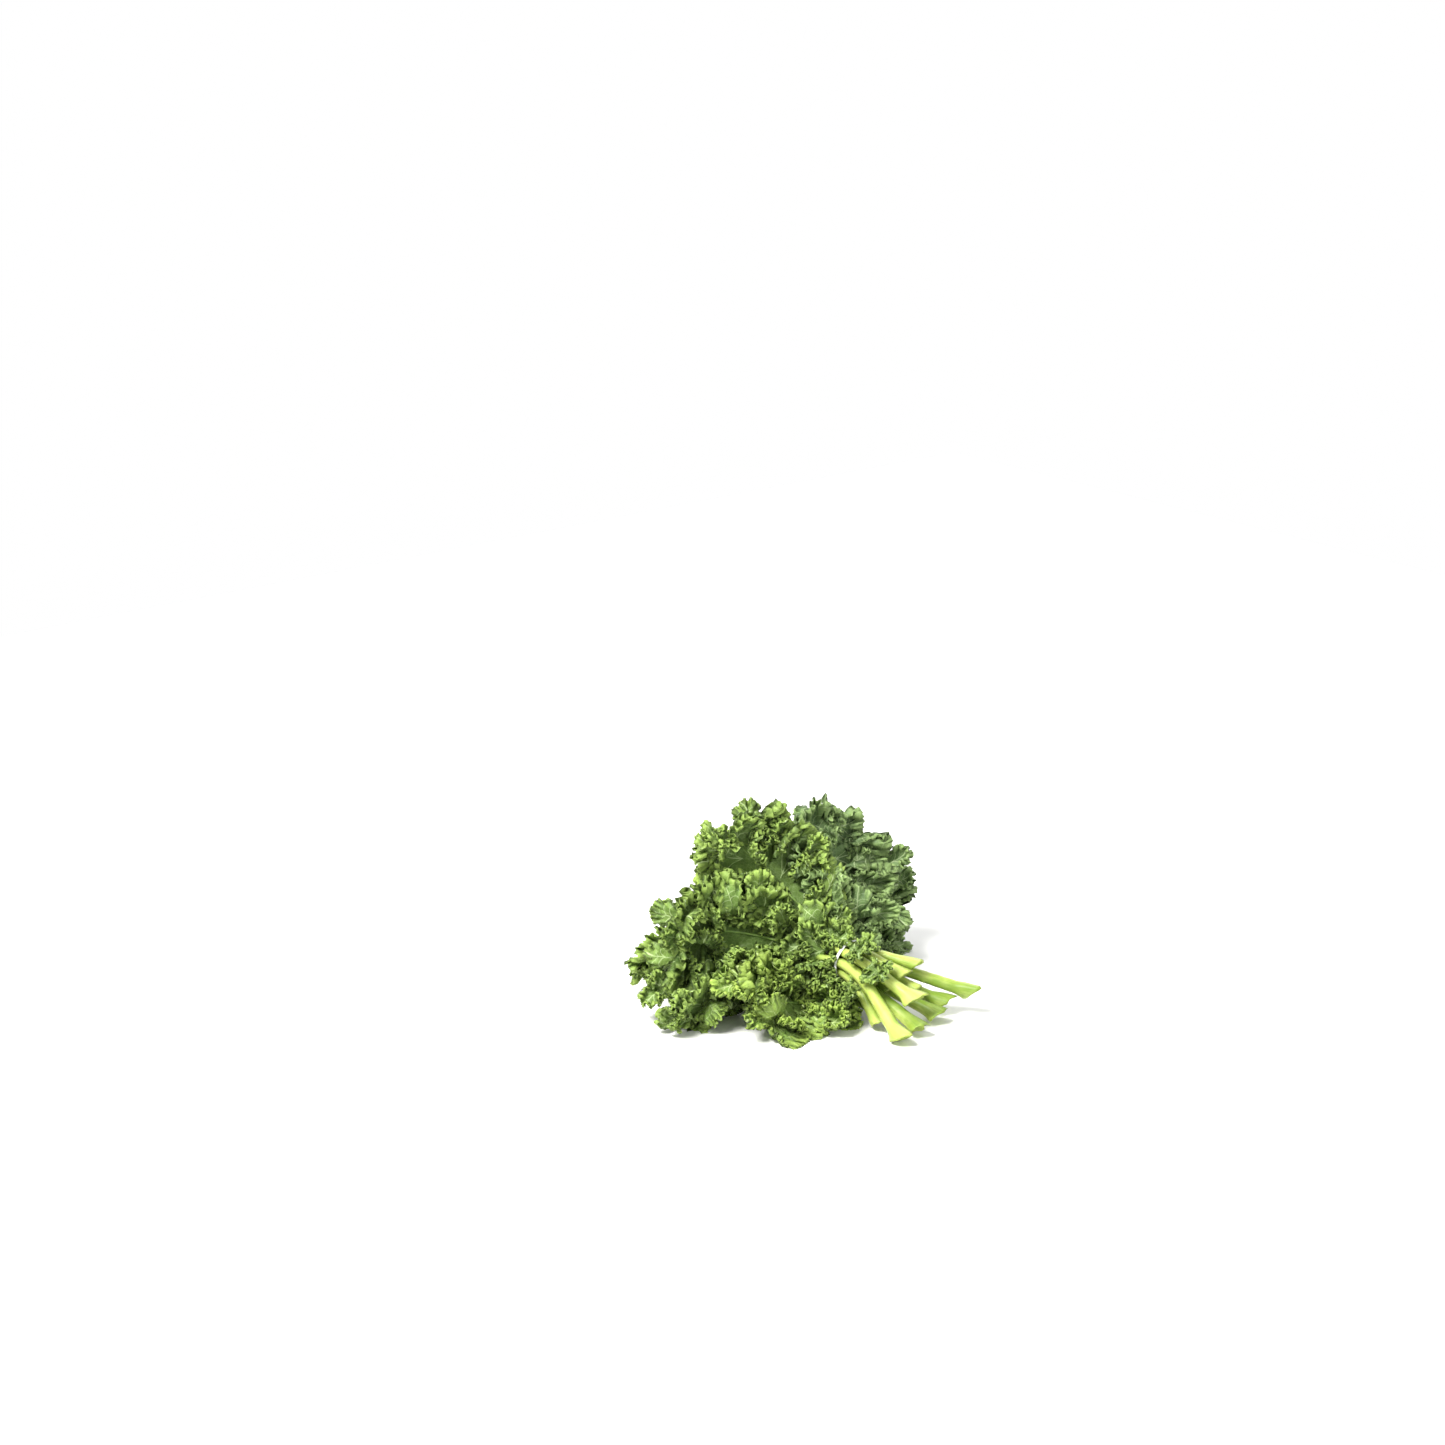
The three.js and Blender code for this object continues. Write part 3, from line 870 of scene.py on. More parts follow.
@dataclass(frozen=True)
class Weave:
    """How many columns and rows of faces a sheet has, coarse inside and fine at its margin.

    Its rows are given by their shares of the way from the middle vein to the margin.
    """

    columns: int  # along the margin: four to each one inside
    inner: tuple[float, ...] = (0.14, 0.27, 0.4)
    middle: tuple[float, ...] = (0.51, 0.61, 0.7)
    outer: tuple[float, ...] = (0.8, 0.9, 1.0)

    @property
    def shares(self) -> Array:
        """Every row's share, from the middle vein to the margin."""
        return np.array((0.0, *self.inner, *self.middle, *self.outer))

    def grid(self) -> bpy.types.Mesh:
        """Makes the flat grid, whose columns double at the middle and again at the outer rows.

        Returns:
            A mesh in which each vertex has its column and its row for a place.
        """
        rows = len(self.shares) - 1
        bm = bmesh.new()
        bmesh.ops.create_grid(bm, x_segments=self.columns // 4, y_segments=rows, size=0.5)
        for vertex in bm.verts:
            vertex.co.x = (vertex.co.x + 0.5) * self.columns
            vertex.co.y = round((vertex.co.y + 0.5) * rows)
        for first in (len(self.inner), len(self.inner) + len(self.middle)):
            level = []
            for edge in bm.edges:
                a, b = (vertex.co for vertex in edge.verts)
                if a.y == b.y and a.y > first - 0.5:
                    level.append(edge)
            bmesh.ops.subdivide_edges(bm, edges=level, cuts=1, use_grid_fill=False)
        mesh = bpy.data.meshes.new("grid")
        bm.to_mesh(mesh)
        bm.free()
        return mesh


@dataclass(frozen=True)
class Sheet:
    """A lobed sheet of leaf, pleated and frilled towards its margin.

    A turn is the way round its margin, from -1 at the base through the tip at 0 to 1 at the base
    again. A share is the share of the way from its middle vein to its margin.
    """

    weave: Weave
    lobes: Lobes
    ruffles: tuple[Ruffle, Ruffle]  # the coarse one and the fine one
    length: float  # from the tie or the foot to the tip
    half: float  # half its width
    seed: int
    fullness: float = 0.7  # 1 for pointed ends, less for blunt ones
    start: float = 0.0  # where it begins, on that length
    base: float = 0.1  # share of the turn left open at the base
    gauges: tuple[float, float] = (0.5, 0.9)  # shares at which the margin's length is measured
    least_step: float = 0.3  # between columns, where the margin stands still
    pucker: float = 1.5  # height of the swellings between its veins
    pucker_length: float = 15.0
    pucker_ramp: tuple[float, float] = (0.03, 0.25)
    teeth: tuple[float, float] = (-1.0, 1.3)  # how far the margin's points stand back or out
    relief: tuple[float, float] = (0.55, 0.6)  # how much each ruffle counts in the fold height that the material paints as highlight on crests and shade in hollows
    tint: float = 0.3  # 0 for old and dark, 1 for young and pale; below 0 darker still, towards the painted-shade colour, which the main sheets get as painted shade where they lie under the lobes

    def reach(self, turn: Array) -> tuple[Array, Array, Array]:
        """Finds the sheet's plain outline.

        Args:
            turn: Turns round the margin.

        Returns:
            Where on the middle vein the way to each turn starts, how far ahead of that its end
            lies, and how far to the side.
        """
        side = np.clip(1 - np.abs(turn), 0, 1)
        crowded = side**self.lobes.crowding
        vein = self.lobes.vein_reach * crowded
        tip = 0.5 - 0.5 * np.cos(math.pi * side)
        width = self.half * np.maximum(np.sin(math.pi * crowded), 0) ** self.fullness
        long = self.length - self.start
        return self.start + long * vein, long * (tip - vein), np.sign(turn) * width

    def lobe_count(self, turn: Array) -> Array:
        """Returns how many lobes lie between the tip and each turn, a whole number on a vein."""
        wander = np.sin(self.lobes.wander_rate * turn + self.seed)
        return self.lobes.each_side * (turn + self.lobes.wander * wander)

    def outline(self, turn: Array, share: Array) -> dict[str, Array]:
        """Lays out the flat sheet, parted into lobes.

        Args:
            turn: The points' turns.
            share: The points' shares.

        Returns:
            Their distances "along" and "sideways" and their "rise", the plain outline's "width"
            beside them, and the lobes' "count".
        """
        lobes = self.lobes
        count = self.lobe_count(turn)
        lobe = np.rint(count)
        aside = 2 * (count - lobe)
        off = np.abs(aside)
        fine = np.linspace(-1.3, 1.3, 2601)  # past the base too, where the last lobe's middle may be
        middle = np.interp(lobe, self.lobe_count(fine), fine)
        vein, far, wide = self.reach(turn)
        _, far_middle, wide_middle = self.reach(middle)
        edge = off**lobes.blend
        far, wide = lerp(far_middle, far, edge), lerp(wide_middle, wide, edge)
        size = np.hypot(far, wide)
        long = np.maximum(size, lobes.spread * lobes.fan_length)
        opening = np.arcsin(np.clip(lobes.spread / long, 0, 1))
        bend = opening * aside * (1 - off**lobes.fan_end) * lobes.fanning
        heading = np.arctan2(wide, far) + bend
        cut = lobes.sinus * smoothstep(off, lobes.sinus_start, 1.0) + lobes.shoulder * off**2
        stand = lobes.cuff * smoothstep(share, *lobes.cuff_ramp)
        drawn = 1 - lobes.cuff_draw * stand
        out = size * share * (1 - cut * smoothstep(share, *lobes.sinus_ramp)) * drawn
        draw = np.random.default_rng(self.seed + 7)
        own = lobe.astype(int) + lobes.most // 2
        tilts = np.radians(lobes.tilt) * draw.uniform(*lobes.tilt_range, lobes.most)[own]
        curls = draw.uniform(*lobes.curl, lobes.most)[own]
        side = np.where(lobe == 0, lobes.tip_tilt, 1.0) * np.where(lobe < 0, -1, 1)
        rise = (curls * share * smoothstep(share, *lobes.curl_ramp) + stand) * size
        return {
            "along": vein + np.cos(heading) * out,
            "sideways": np.sin(heading) * out,
            "rise": rise - np.sin(bend) * out * np.sin(tilts) * side,
            "width": np.abs(wide) * np.ones_like(share),
            "count": (count + 0.5) * np.ones_like(share),
        }

    def laid(self, turn: Array, share: Array) -> dict[str, Array]:
        """Lays the sheet out in the bunch, before its ruffles.

        Args:
            turn: The points' turns.
            share: The points' shares.

        Returns:
            Each "point" from the tie's foot, the lobes' "count", the "room" that there is to
            ruffle, and where the points "lie" on the flat leaf, for its material.
        """
        raise NotImplementedError

    def even_turns(self) -> Array:
        """Spaces the columns along the margin.

        Returns:
            The columns' turns, evenly spaced and alike on both sides.
        """
        fine = np.linspace(-1, 1, 1601) * (1 - self.base)
        margin = self.laid(fine[:, None], np.array([self.gauges]))["point"]
        step = np.linalg.norm(np.diff(margin, axis=0), axis=-1).mean(-1)
        step = step + step[::-1] + self.least_step
        gone = np.concatenate([[0], np.cumsum(step)])
        return np.interp(np.linspace(0, gone[-1], self.weave.columns + 1), gone, fine)

    def shaped(self) -> dict[str, Array]:
        """Puckers and ruffles the sheet, and cuts its margin's teeth.

        Returns:
            Each finished "point" from the tie's foot by column and row, and what the material
            reads there: the vein's "course", the "frill", from which it paints highlights on crests
            and shade in hollows, and where it would "lie" flat.
        """
        share = self.weave.shares
        flat = self.laid(self.even_turns()[:, None], share[None, :])
        sheet, room = flat["point"], flat["room"]
        spacing = np.linalg.norm(np.gradient(sheet, axis=0), axis=-1)
        spacing = spacing / np.maximum(np.abs(np.gradient(flat["count"], axis=0)), 1e-6)
        swell = Sway(self.seed + 3, self.pucker_length, 9)(flat["lie"][..., 0], flat["lie"][..., 1])
        normal = unit(np.cross(np.gradient(sheet, axis=0), np.gradient(sheet, axis=1)))
        size = self.pucker * smoothstep(share, *self.pucker_ramp)[None, :] * room
        sheet = sheet + normal * (size * swell)[..., None]
        relief = np.zeros(sheet.shape[:2])
        for weight, ruffle in zip(self.relief, self.ruffles):
            sheet, wave = ruffle.fold(sheet, share, room)
            relief = relief + weight * wave * smoothstep(share, ruffle.first, 1.0)
        teeth = np.random.default_rng(self.seed + 5).uniform(*self.teeth, self.weave.columns + 1)
        bite = smoothstep(share, 0.9, 1.0)[None, :] * teeth[:, None]
        sheet = sheet + unit(np.gradient(sheet, axis=1)) * bite[..., None]
        ones = np.ones_like(spacing)
        return {
            "point": sheet,
            "course": np.stack([flat["count"], ones * share, np.clip(spacing, 2, 60)], -1),
            "frill": np.stack([relief, ones * share, ones * self.tint], -1),
            "lie": flat["lie"],
        }


@dataclass(frozen=True)
class MainSheet(Sheet):
    """The sheet that follows a leaf's midrib through the bunch, as its node does.

    A ramp holds the two distances or heights between which something sets in.
    """

    leaf: Leaf = LEAVES[0]
    clearance: float = 0.8  # from the midrib, as in the frame
    half_thickness: float = 0.45  # of the blade in the frame
    on_rib: float = 0.3  # how deep the midrib lies in the sheet, for its radius
    rib_ramp: tuple[float, float] = (2, 16)  # from the midrib, where the sheet goes over it
    wrap: float = 1.5  # how far round the bunch it may reach, for its leaf's widest swing
    open_ramp: tuple[float, float] = (10, 70)  # from the axis, where the lobes have room
    rise_ramp: tuple[float, float] = (5, 60)  # over the surface, which presses them flatter
    least_rise: float = 0.35
    neck_ramp: tuple[float, float] = (12, 75)  # from the tie, where the ruffles set in
    low_ramp: tuple[float, float] = (0, 30)  # over the surface, which presses them too
    least_low: float = 0.7
    least_open: float = 0.6

    def laid(self, turn: Array, share: Array) -> dict[str, Array]:
        """Lays the sheet along its leaf, bent round the bunch.

        Args:
            turn: The points' turns.
            share: The points' shares.

        Returns:
            What Sheet.laid returns.
        """
        leaf = self.leaf
        flat = self.outline(turn, share)
        along = flat["along"]
        _, radius, widest = leaf.lie(along)
        sideways = flat["sideways"] / np.hypot(1, flat["width"] / (self.wrap * widest * radius))
        opened = smoothstep(radius, *self.open_ramp)
        even = leaf.point(along, sideways)
        height = even[..., 2]
        rise = flat["rise"] * opened * lerp(self.least_rise, 1, smoothstep(height, *self.rise_ramp))
        rib = leaf.stem_radius(along) * self.on_rib
        full = leaf.stem_radius(along) + self.clearance + self.half_thickness
        lift = lerp(rib, full, smoothstep(np.abs(sideways), *self.rib_ramp))
        _, _, outward = leaf.axes(along, sideways)
        point = leaf.point(along, sideways, rise) - outward * lift[..., None]
        neck = np.linalg.norm(even - [0, 0, ROSETTE.neck_height], axis=-1)
        room = smoothstep(neck, *self.neck_ramp)
        room = room * lerp(self.least_low, 1, smoothstep(height, *self.low_ramp))
        room = room * lerp(self.least_open, 1, opened)
        lie = np.stack([along, sideways, np.full_like(along, leaf.seed)], -1)
        return {"point": point, "count": flat["count"], "room": room, "lie": lie}


@dataclass(frozen=True)
class FanSheet(Sheet):
    """A small sheet that grows from one spot: a leaf's curled lobe, or a leaflet on a stem."""

    foot: tuple[float, float, float] = (0, 0, 0)
    forward: tuple[float, float, float] = (1, 0, 0)
    facing: tuple[float, float, float] = (0, 0, 1)
    bow: float = 0.0  # radians that it bends away from its facing side over its length
    least_bow: float = 1e-3  # so that a straight one can be worked out alike
    cup: float = 0.0  # rise of its sides at half its width, for that width
    room_ramp: tuple[float, float] = (0, 14)  # from its foot, where the ruffles set in
    least_room: float = 0.3

    def laid(self, turn: Array, share: Array) -> dict[str, Array]:
        """Lays the fan out from its foot.

        Args:
            turn: The points' turns.
            share: The points' shares.

        Returns:
            What Sheet.laid returns.
        """
        forward = unit(np.array(self.forward, float))
        across = unit(np.cross(forward, self.facing))
        facing = np.cross(across, forward)
        flat = self.outline(turn, share)
        along, sideways = flat["along"], flat["sideways"]
        curve = (self.bow if abs(self.bow) > self.least_bow else self.least_bow) / self.length
        ahead = np.sin(curve * along) / curve
        down = (1 - np.cos(curve * along)) / curve
        rise = flat["rise"] + self.cup * sideways**2 / self.half - down
        point = (
            np.array(self.foot, float)
            + forward * ahead[..., None]
            + across * sideways[..., None]
            + facing * rise[..., None]
        )
        room = lerp(self.least_room, 1, smoothstep(np.hypot(along, sideways), *self.room_ramp))
        lie = np.stack([along, sideways, np.full_like(along, self.seed)], -1)
        return {"point": point, "count": flat["count"], "room": room, "lie": lie}


@dataclass(frozen=True)
class Blade:
    """A whole blade: one or more sheets in one piece, which replaces its node."""

    name: str
    tone: Tone
    thickness: float = 0.5  # of the sheets
    weld: float = 0.02  # vertices nearer than this are joined

    def sheets(self) -> tuple[Sheet, ...]:
        """Returns the blade's sheets."""
        raise NotImplementedError

    def woven(self, sheets: tuple[Sheet, ...]) -> bmesh.types.BMesh:
        """Weaves the sheets' grids into one mesh.

        Args:
            sheets: The blade's sheets.

        Returns:
            The mesh, in which each vertex has its column, its row and its sheet for a place.
        """
        bm = bmesh.new()
        grids: dict[Weave, bpy.types.Mesh] = {}
        for number, sheet in enumerate(sheets):
            if sheet.weave not in grids:
                grids[sheet.weave] = sheet.weave.grid()
            first = len(bm.verts)
            bm.from_mesh(grids[sheet.weave])
            bm.verts.ensure_lookup_table()
            for vertex in bm.verts[first:]:
                vertex.co.z = number
        for grid in grids.values():
            bpy.data.meshes.remove(grid)
        return bm

    def build(self, material: bpy.types.Material) -> bpy.types.Object:
        """Builds the blade.

        Args:
            material: The leaf's material.

        Returns:
            The piece.
        """
        sheets = self.sheets()
        piece = new_piece(self.name, self.woven(sheets), material)
        column, row, number = np.rint(vertex_places(piece)).astype(int).T
        made = {key: np.zeros((len(column), 3)) for key in ("point", "course", "frill", "lie")}
        for own_number, sheet in enumerate(sheets):
            own = number == own_number
            shape = sheet.shaped()
            for key, values in made.items():
                values[own] = shape[key][column[own], row[own]]
        move_vertices(piece, placed(made.pop("point")))
        for key, values in made.items():
            store(piece, key, values)
        bm = bmesh.new()
        bm.from_mesh(piece.data)
        bmesh.ops.remove_doubles(bm, verts=bm.verts, dist=self.weld * MM)
        bm.to_mesh(piece.data)
        bm.free()
        solid = piece.modifiers.new("thickness", "SOLIDIFY")
        solid.thickness = self.thickness * MM
        solid.offset = 0
        solid.use_rim = True
        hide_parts(self.name)
        return piece


# ---- Blades ----


@dataclass(frozen=True)
class StrayLobe:
    """A side lobe that points its own way.

    Its directions are given as the amounts to the right, towards the front and up, where the
    front is the side that shows the stems coming forward and to the right.
    """

    along: float  # from the tie to its foot
    sideways: float  # from the midrib to its foot
    forward: tuple[float, float, float]
    length: float = 50
    facing: tuple[float, float, float] = (0, 0.7, 0.7)  # the way its veined side looks
    tint: float = 0.3
    frilled: bool = True  # or else nearly flat, bent over backwards so that its veins show


RIGHT = (0.643, 0.766)  # X and Y of the way to the right, seen from the front
FRONT = (0.766, -0.643)  # and of the way towards who looks at the front
TOWARDS = (0, 0.94, 0.34)  # towards who looks at the front, a little from above
STRAY_LOBES = {
    "01": (
        StrayLobe(22, -6, (0.15, 0.8, -0.5), 42, (-0.2, 0.8, 0.5)),
        StrayLobe(200, -60, (-0.5, 0.5, -0.2), 42),
        StrayLobe(138, 0, (-0.3, 0.75, 0.55), 44, tint=0.5),
        StrayLobe(124, 22, TOWARDS, 56, (0.2, 0, -1), 0.1, False),
        StrayLobe(156, -14, (0.1, 0.9, 0.35), 46, (0.3, 0.5, 0.8)),
    ),
    "02": (
        StrayLobe(24, 8, (0.6, 0.55, 0.25), 36, (0, 0.6, 0.8)),
        StrayLobe(176, -10, (-0.5, 0.6, 0.6), 42),
        StrayLobe(140, 0, (-0.2, 0.75, 0.6), 42, tint=0.6),
        StrayLobe(44, 16, TOWARDS, 54, (0.75, 0, -0.5), 0.3, False),
    ),
    "03": (
        StrayLobe(165, 66, (0.9, 0.1, 0.35), 46),
        StrayLobe(114, 68, (0.9, 0.3, 0.0), 50),
        StrayLobe(60, 58, TOWARDS, 52, (0.15, 0, -1), 0.1, False),
        StrayLobe(168, 8, (0, 0.8, 0.6), 54, (0.9, 0.2, -0.25), 0.1, False),
    ),
    "04": (StrayLobe(172, -25, (0.95, 0.3, 0.0), 50), StrayLobe(196, -50, (0.95, 0.2, 0.1), 40)),
    "05": (
        StrayLobe(45, -50, (0.85, 0.5, 0.05), 54),
        StrayLobe(14, -30, (0.55, 0.65, -0.4), 52),
        StrayLobe(75, -60, (0.9, 0.25, 0.2), 52),
        StrayLobe(60, 30, (-0.3, 0.9, 0.2), 48),
        StrayLobe(92, -12, (0.1, 0.75, 0.55), 46, tint=0.8),
        StrayLobe(104, 36, (-0.4, 0.75, 0.4), 46, tint=1.0),
        StrayLobe(112, 50, (-0.85, 0.5, -0.05), 44),
        StrayLobe(56, -70, (0.9, 0.4, -0.1), 54),
    ),
    "06": (
        StrayLobe(24, -24, (0.5, 0.75, -0.35), 50),
        StrayLobe(8, -20, (0.45, 0.7, -0.55), 50, tint=-0.1),
        StrayLobe(110, -50, (0.25, 0.95, 0.1), 50),
        StrayLobe(150, -40, (0.3, 0.8, 0.4), 44),
    ),
}


def view_way(right: float, front: float, up: float) -> Array:
    """Returns the direction that goes so much to the right, to the front and up."""
    level = right * np.array(RIGHT) + front * np.array(FRONT)
    return unit(np.array([*level, up]))


@dataclass(frozen=True)
class Cover:
    """How a leaf's main sheet is made and covered with curled lobes: at first, an outer leaf's."""

    first: float = 20  # from the tie to the first side lobe
    step: float = 21.5  # from each side lobe to the next
    last: float = 0.88  # share of the leaf's length where they end
    tips: tuple[float, ...] = (-0.3, 0.25)  # where the tip lobes grow, for half the leaf's width
    shown: float = 1  # share of the leaf's length that the main sheet has
    columns: int = 1000  # its weave, its fullness and its tint
    fullness: float = 0.62
    # painted shade on the main sheet, which lies under the curled lobes
    tint: float = -0.35


class Place(Enum):
    """The parts of the bunch that a leaf may lie in, each with its cover."""

    OUTER = Cover()
    HANGING = Cover(last=0.72, tips=(), shown=0.87)
    UPPER_CORE = Cover(90, 27, tips=(0.1,), columns=840, fullness=0.8, tint=0.0)
    LOWER_CORE = Cover(90, 40, tips=(0.1,), columns=840, fullness=0.8, tint=0.0)


SEEN_FROM_ABOVE = ("08", "09", "11")  # the leaves of the upper core


@dataclass(frozen=True)
class Curls:
    """The measures of curled lobes: a pair is the least and the most that one is drawn from."""

    jitter: tuple[float, float] = (-4, 4)  # by which a side lobe strays along its leaf
    aside: tuple[float, float] = (0.1, 0.55)  # from the midrib, for half the leaf's width there
    turn: tuple[float, float] = (15, 65)  # degrees that a side lobe points away from the tip
    lift: tuple[float, float] = (20, 42)  # degrees that it leans out of the main sheet
    roll: float = 0.5  # most that it turns about its vein, as a slope
    size: tuple[float, float] = (42, 56)
    low_share: float = 0.75  # share of its length that it has close to the surface
    low_ramp: tuple[float, float] = (5, 45)
    tint: tuple[float, float] = (-0.3, 1)
    tip_place: float = 0.8  # share of the leaf's length where the tip lobes grow
    tip_aside: tuple[float, float] = (-0.6, 0.6)  # how far one points aside, as a slope
    tip_in: tuple[float, float] = (0.4, 0.8)  # and how far in over the leaf's inner side
    tip_size: float = 46
    curly: tuple[float, float] = (0.24, 0.55)  # share of the way to the margin where folds start
    sinus: tuple[float, float] = (0.3, 0.6)
    cuff: tuple[float, float] = (0.1, 0.42)
    fold: tuple[float, float] = (8, 10.5)
    rise: tuple[float, float] = (3.2, 4.4)
    half: tuple[float, float] = (0.5, 0.64)  # half its width, for its length
    bow: tuple[float, float] = (-0.3, 0.9)
    cup: tuple[float, float] = (-0.5, 0.5)


@dataclass(frozen=True)
class LeafBlade(Blade):
    """The blade of one of the bunch's leaves: its main sheet, and the lobes that lean out of it."""

    leaf: Leaf = LEAVES[0]
    curls: Curls = Curls()

    @property
    def cover(self) -> Cover:
        """Looks up the cover that suits where the leaf lies.

        Returns:
            The cover.
        """
        if self.leaf.outside:
            return (Place.HANGING if self.leaf.hangs else Place.OUTER).value
        return (Place.UPPER_CORE if self.leaf.name in SEEN_FROM_ABOVE else Place.LOWER_CORE).value

    def sheets(self) -> tuple[Sheet, ...]:
        """Lists the blade's sheets.

        Returns:
            The main sheet and the curled lobes.
        """
        leaf, cover = self.leaf, self.cover
        coarse = Ruffle(14.0, 5.8, 0.12, 0.4, leaf.seed + 10)
        fine = Ruffle(6.2, 2.5, 0.1, 0.6, leaf.seed + 20)
        main = MainSheet(
            Weave(cover.columns),
            Lobes(sinus=0.5),
            (coarse, fine),
            leaf.length * cover.shown,
            leaf.half,
            leaf.seed,
            fullness=cover.fullness,
            start=leaf.blade_start,
            tint=cover.tint,
            leaf=leaf,
        )
        return (main, *self.curled_lobes())

    def curled_lobes(self) -> list[FanSheet]:
        """Sets the curled lobes out.

        Returns:
            The side lobes, on one side of the midrib and the other in turn, then the tip lobes
            and the stray ones.
        """
        leaf, cover = self.leaf, self.cover
        draw = np.random.default_rng(leaf.seed + 60)
        lobes = []
        along = cover.first
        side = 1
        while along < leaf.length * cover.last:
            bulge = math.sin(math.pi * min(along / leaf.length, 0.9)) ** 0.6
            far = draw.uniform(*self.curls.aside) * leaf.half * bulge
            place = along + draw.uniform(*self.curls.jitter)
            lobes.append(self.side_lobe(draw, len(lobes), place, side * far))
            side = -side
            along += cover.step
        for sideways in cover.tips:
            lobes.append(self.tip_lobe(draw, len(lobes), sideways * leaf.half))
        for stray in STRAY_LOBES.get(leaf.name, ()):
            lobes.append(self.stray_lobe(draw, len(lobes), stray))
        return lobes

    def side_lobe(self, draw: np.random.Generator, number: int, along: float, sideways: float) -> FanSheet:
        """Makes a side lobe, which leans out of the main sheet towards the leaf's tip and side.

        Args:
            draw: The leaf's random numbers.
            number: The lobe's number on the leaf.
            along: Its foot's distance from the tie.
            sideways: Its foot's distance from the midrib.

        Returns:
            The lobe.
        """
        leaf, curls = self.leaf, self.curls
        at, across = np.array(along), np.array(sideways)
        foot, ahead, outward = leaf.axes(at, across)
        beside = np.cross(ahead, outward)
        beside = beside * np.sign((leaf.point(at, across + 1.0) - foot) @ beside) * np.sign(sideways)
        turn = math.radians(draw.uniform(*curls.turn))
        lift = math.radians(draw.uniform(*curls.lift))
        level = ahead * math.cos(turn) + beside * math.sin(turn)
        forward = level * math.cos(lift) + outward * math.sin(lift)
        facing = outward * math.cos(lift) - level * math.sin(lift)
        facing = facing + curls.roll * draw.uniform(-1, 1) * np.cross(forward, facing)
        grown = lerp(curls.low_share, 1, float(smoothstep(foot[2], *curls.low_ramp)))
        length = draw.uniform(*curls.size) * grown
        return self.lobe(draw, number, foot - outward, forward, facing, length, draw.uniform(*curls.tint))

    def tip_lobe(self, draw: np.random.Generator, number: int, sideways: float) -> FanSheet:
        """Makes a lobe near the leaf's tip, which curls in over the leaf's inner side.

        Args:
            draw: The leaf's random numbers.
            number: The lobe's number on the leaf.
            sideways: Its foot's distance from the midrib.

        Returns:
            The lobe.
        """
        leaf, curls = self.leaf, self.curls
        foot, ahead, outward = leaf.axes(np.array(curls.tip_place * leaf.length), np.array(sideways))
        beside = np.cross(ahead, outward) * draw.uniform(*curls.tip_aside)
        forward = unit(ahead + beside - outward * draw.uniform(*curls.tip_in))
        facing = -outward - 0.5 * ahead
        tint = draw.uniform(*curls.tint)
        return self.lobe(draw, number, foot + outward, forward, facing, curls.tip_size, tint)

    def stray_lobe(self, draw: np.random.Generator, number: int, stray: StrayLobe) -> FanSheet:
        """Makes a lobe that points its own way, to close a gap beside its leaf.

        Args:
            draw: The leaf's random numbers.
            number: The lobe's number on the leaf.
            stray: Where it grows and which way.

        Returns:
            The lobe.
        """
        foot, _, outward = self.leaf.axes(np.array(stray.along), np.array(stray.sideways))
        forward, facing = view_way(*stray.forward), view_way(*stray.facing)
        if stray.frilled:
            return self.lobe(draw, number, foot - outward, forward, facing, stray.length, stray.tint)
        seed = self.leaf.seed + 11 * number
        return FanSheet(
            Weave(152),
            Lobes(1.5, 20, 26, sinus=0.75, cuff=0.0, curl=(-0.1, 0.2), vein_reach=0.5),
            (Ruffle(13, 2.6, 0.1, 0.45, seed + 70), Ruffle(6, 1.1, 0.1, 0.7, seed + 74)),
            stray.length,
            0.55 * stray.length,
            seed,
            fullness=0.8,
            foot=tuple(foot + outward),
            forward=tuple(forward),
            facing=tuple(facing),
            bow=1.9,
            cup=-0.1,
            pucker=1.2,
            tint=stray.tint,
        )

    def lobe(
        self,
        draw: np.random.Generator,
        number: int,
        foot: Array,
        forward: Array,
        facing: Array,
        length: float,
        tint: float,
    ) -> FanSheet:
        """Makes a curled lobe.

        Args:
            draw: The leaf's random numbers.
            number: The lobe's number on the leaf.
            foot: Where it grows from.
            forward: The way that it points.
            facing: The way that its veined side looks.
            length: Its length.
            tint: 1 for young and pale, 0 for old and dark, below 0 darker still towards the painted-shade
                colour.

        Returns:
            The lobe.
        """
        curls = self.curls
        seed = self.leaf.seed + 11 * number
        curly = draw.uniform(*curls.curly)
        sinus, cuff = draw.uniform(*curls.sinus), draw.uniform(*curls.cuff)
        coarse = Ruffle(draw.uniform(*curls.fold), draw.uniform(*curls.rise), 0.14, curly, seed + 70)
        return FanSheet(
            Weave(228),
            Lobes(1.5, 17, 20, sinus, cuff, curl=(-0.3, 0.3), vein_reach=0.3),
            (coarse, Ruffle(4.1, 1.75, 0.1, curly + 0.2, seed + 74)),
            length,
            length * draw.uniform(*curls.half),
            self.leaf.seed + 3 * number + 5,
            foot=tuple(foot),
            forward=tuple(forward),
            facing=tuple(facing),
            bow=draw.uniform(*curls.bow),
            cup=draw.uniform(*curls.cup),
            pucker=1.0,
            tint=tint,
        )


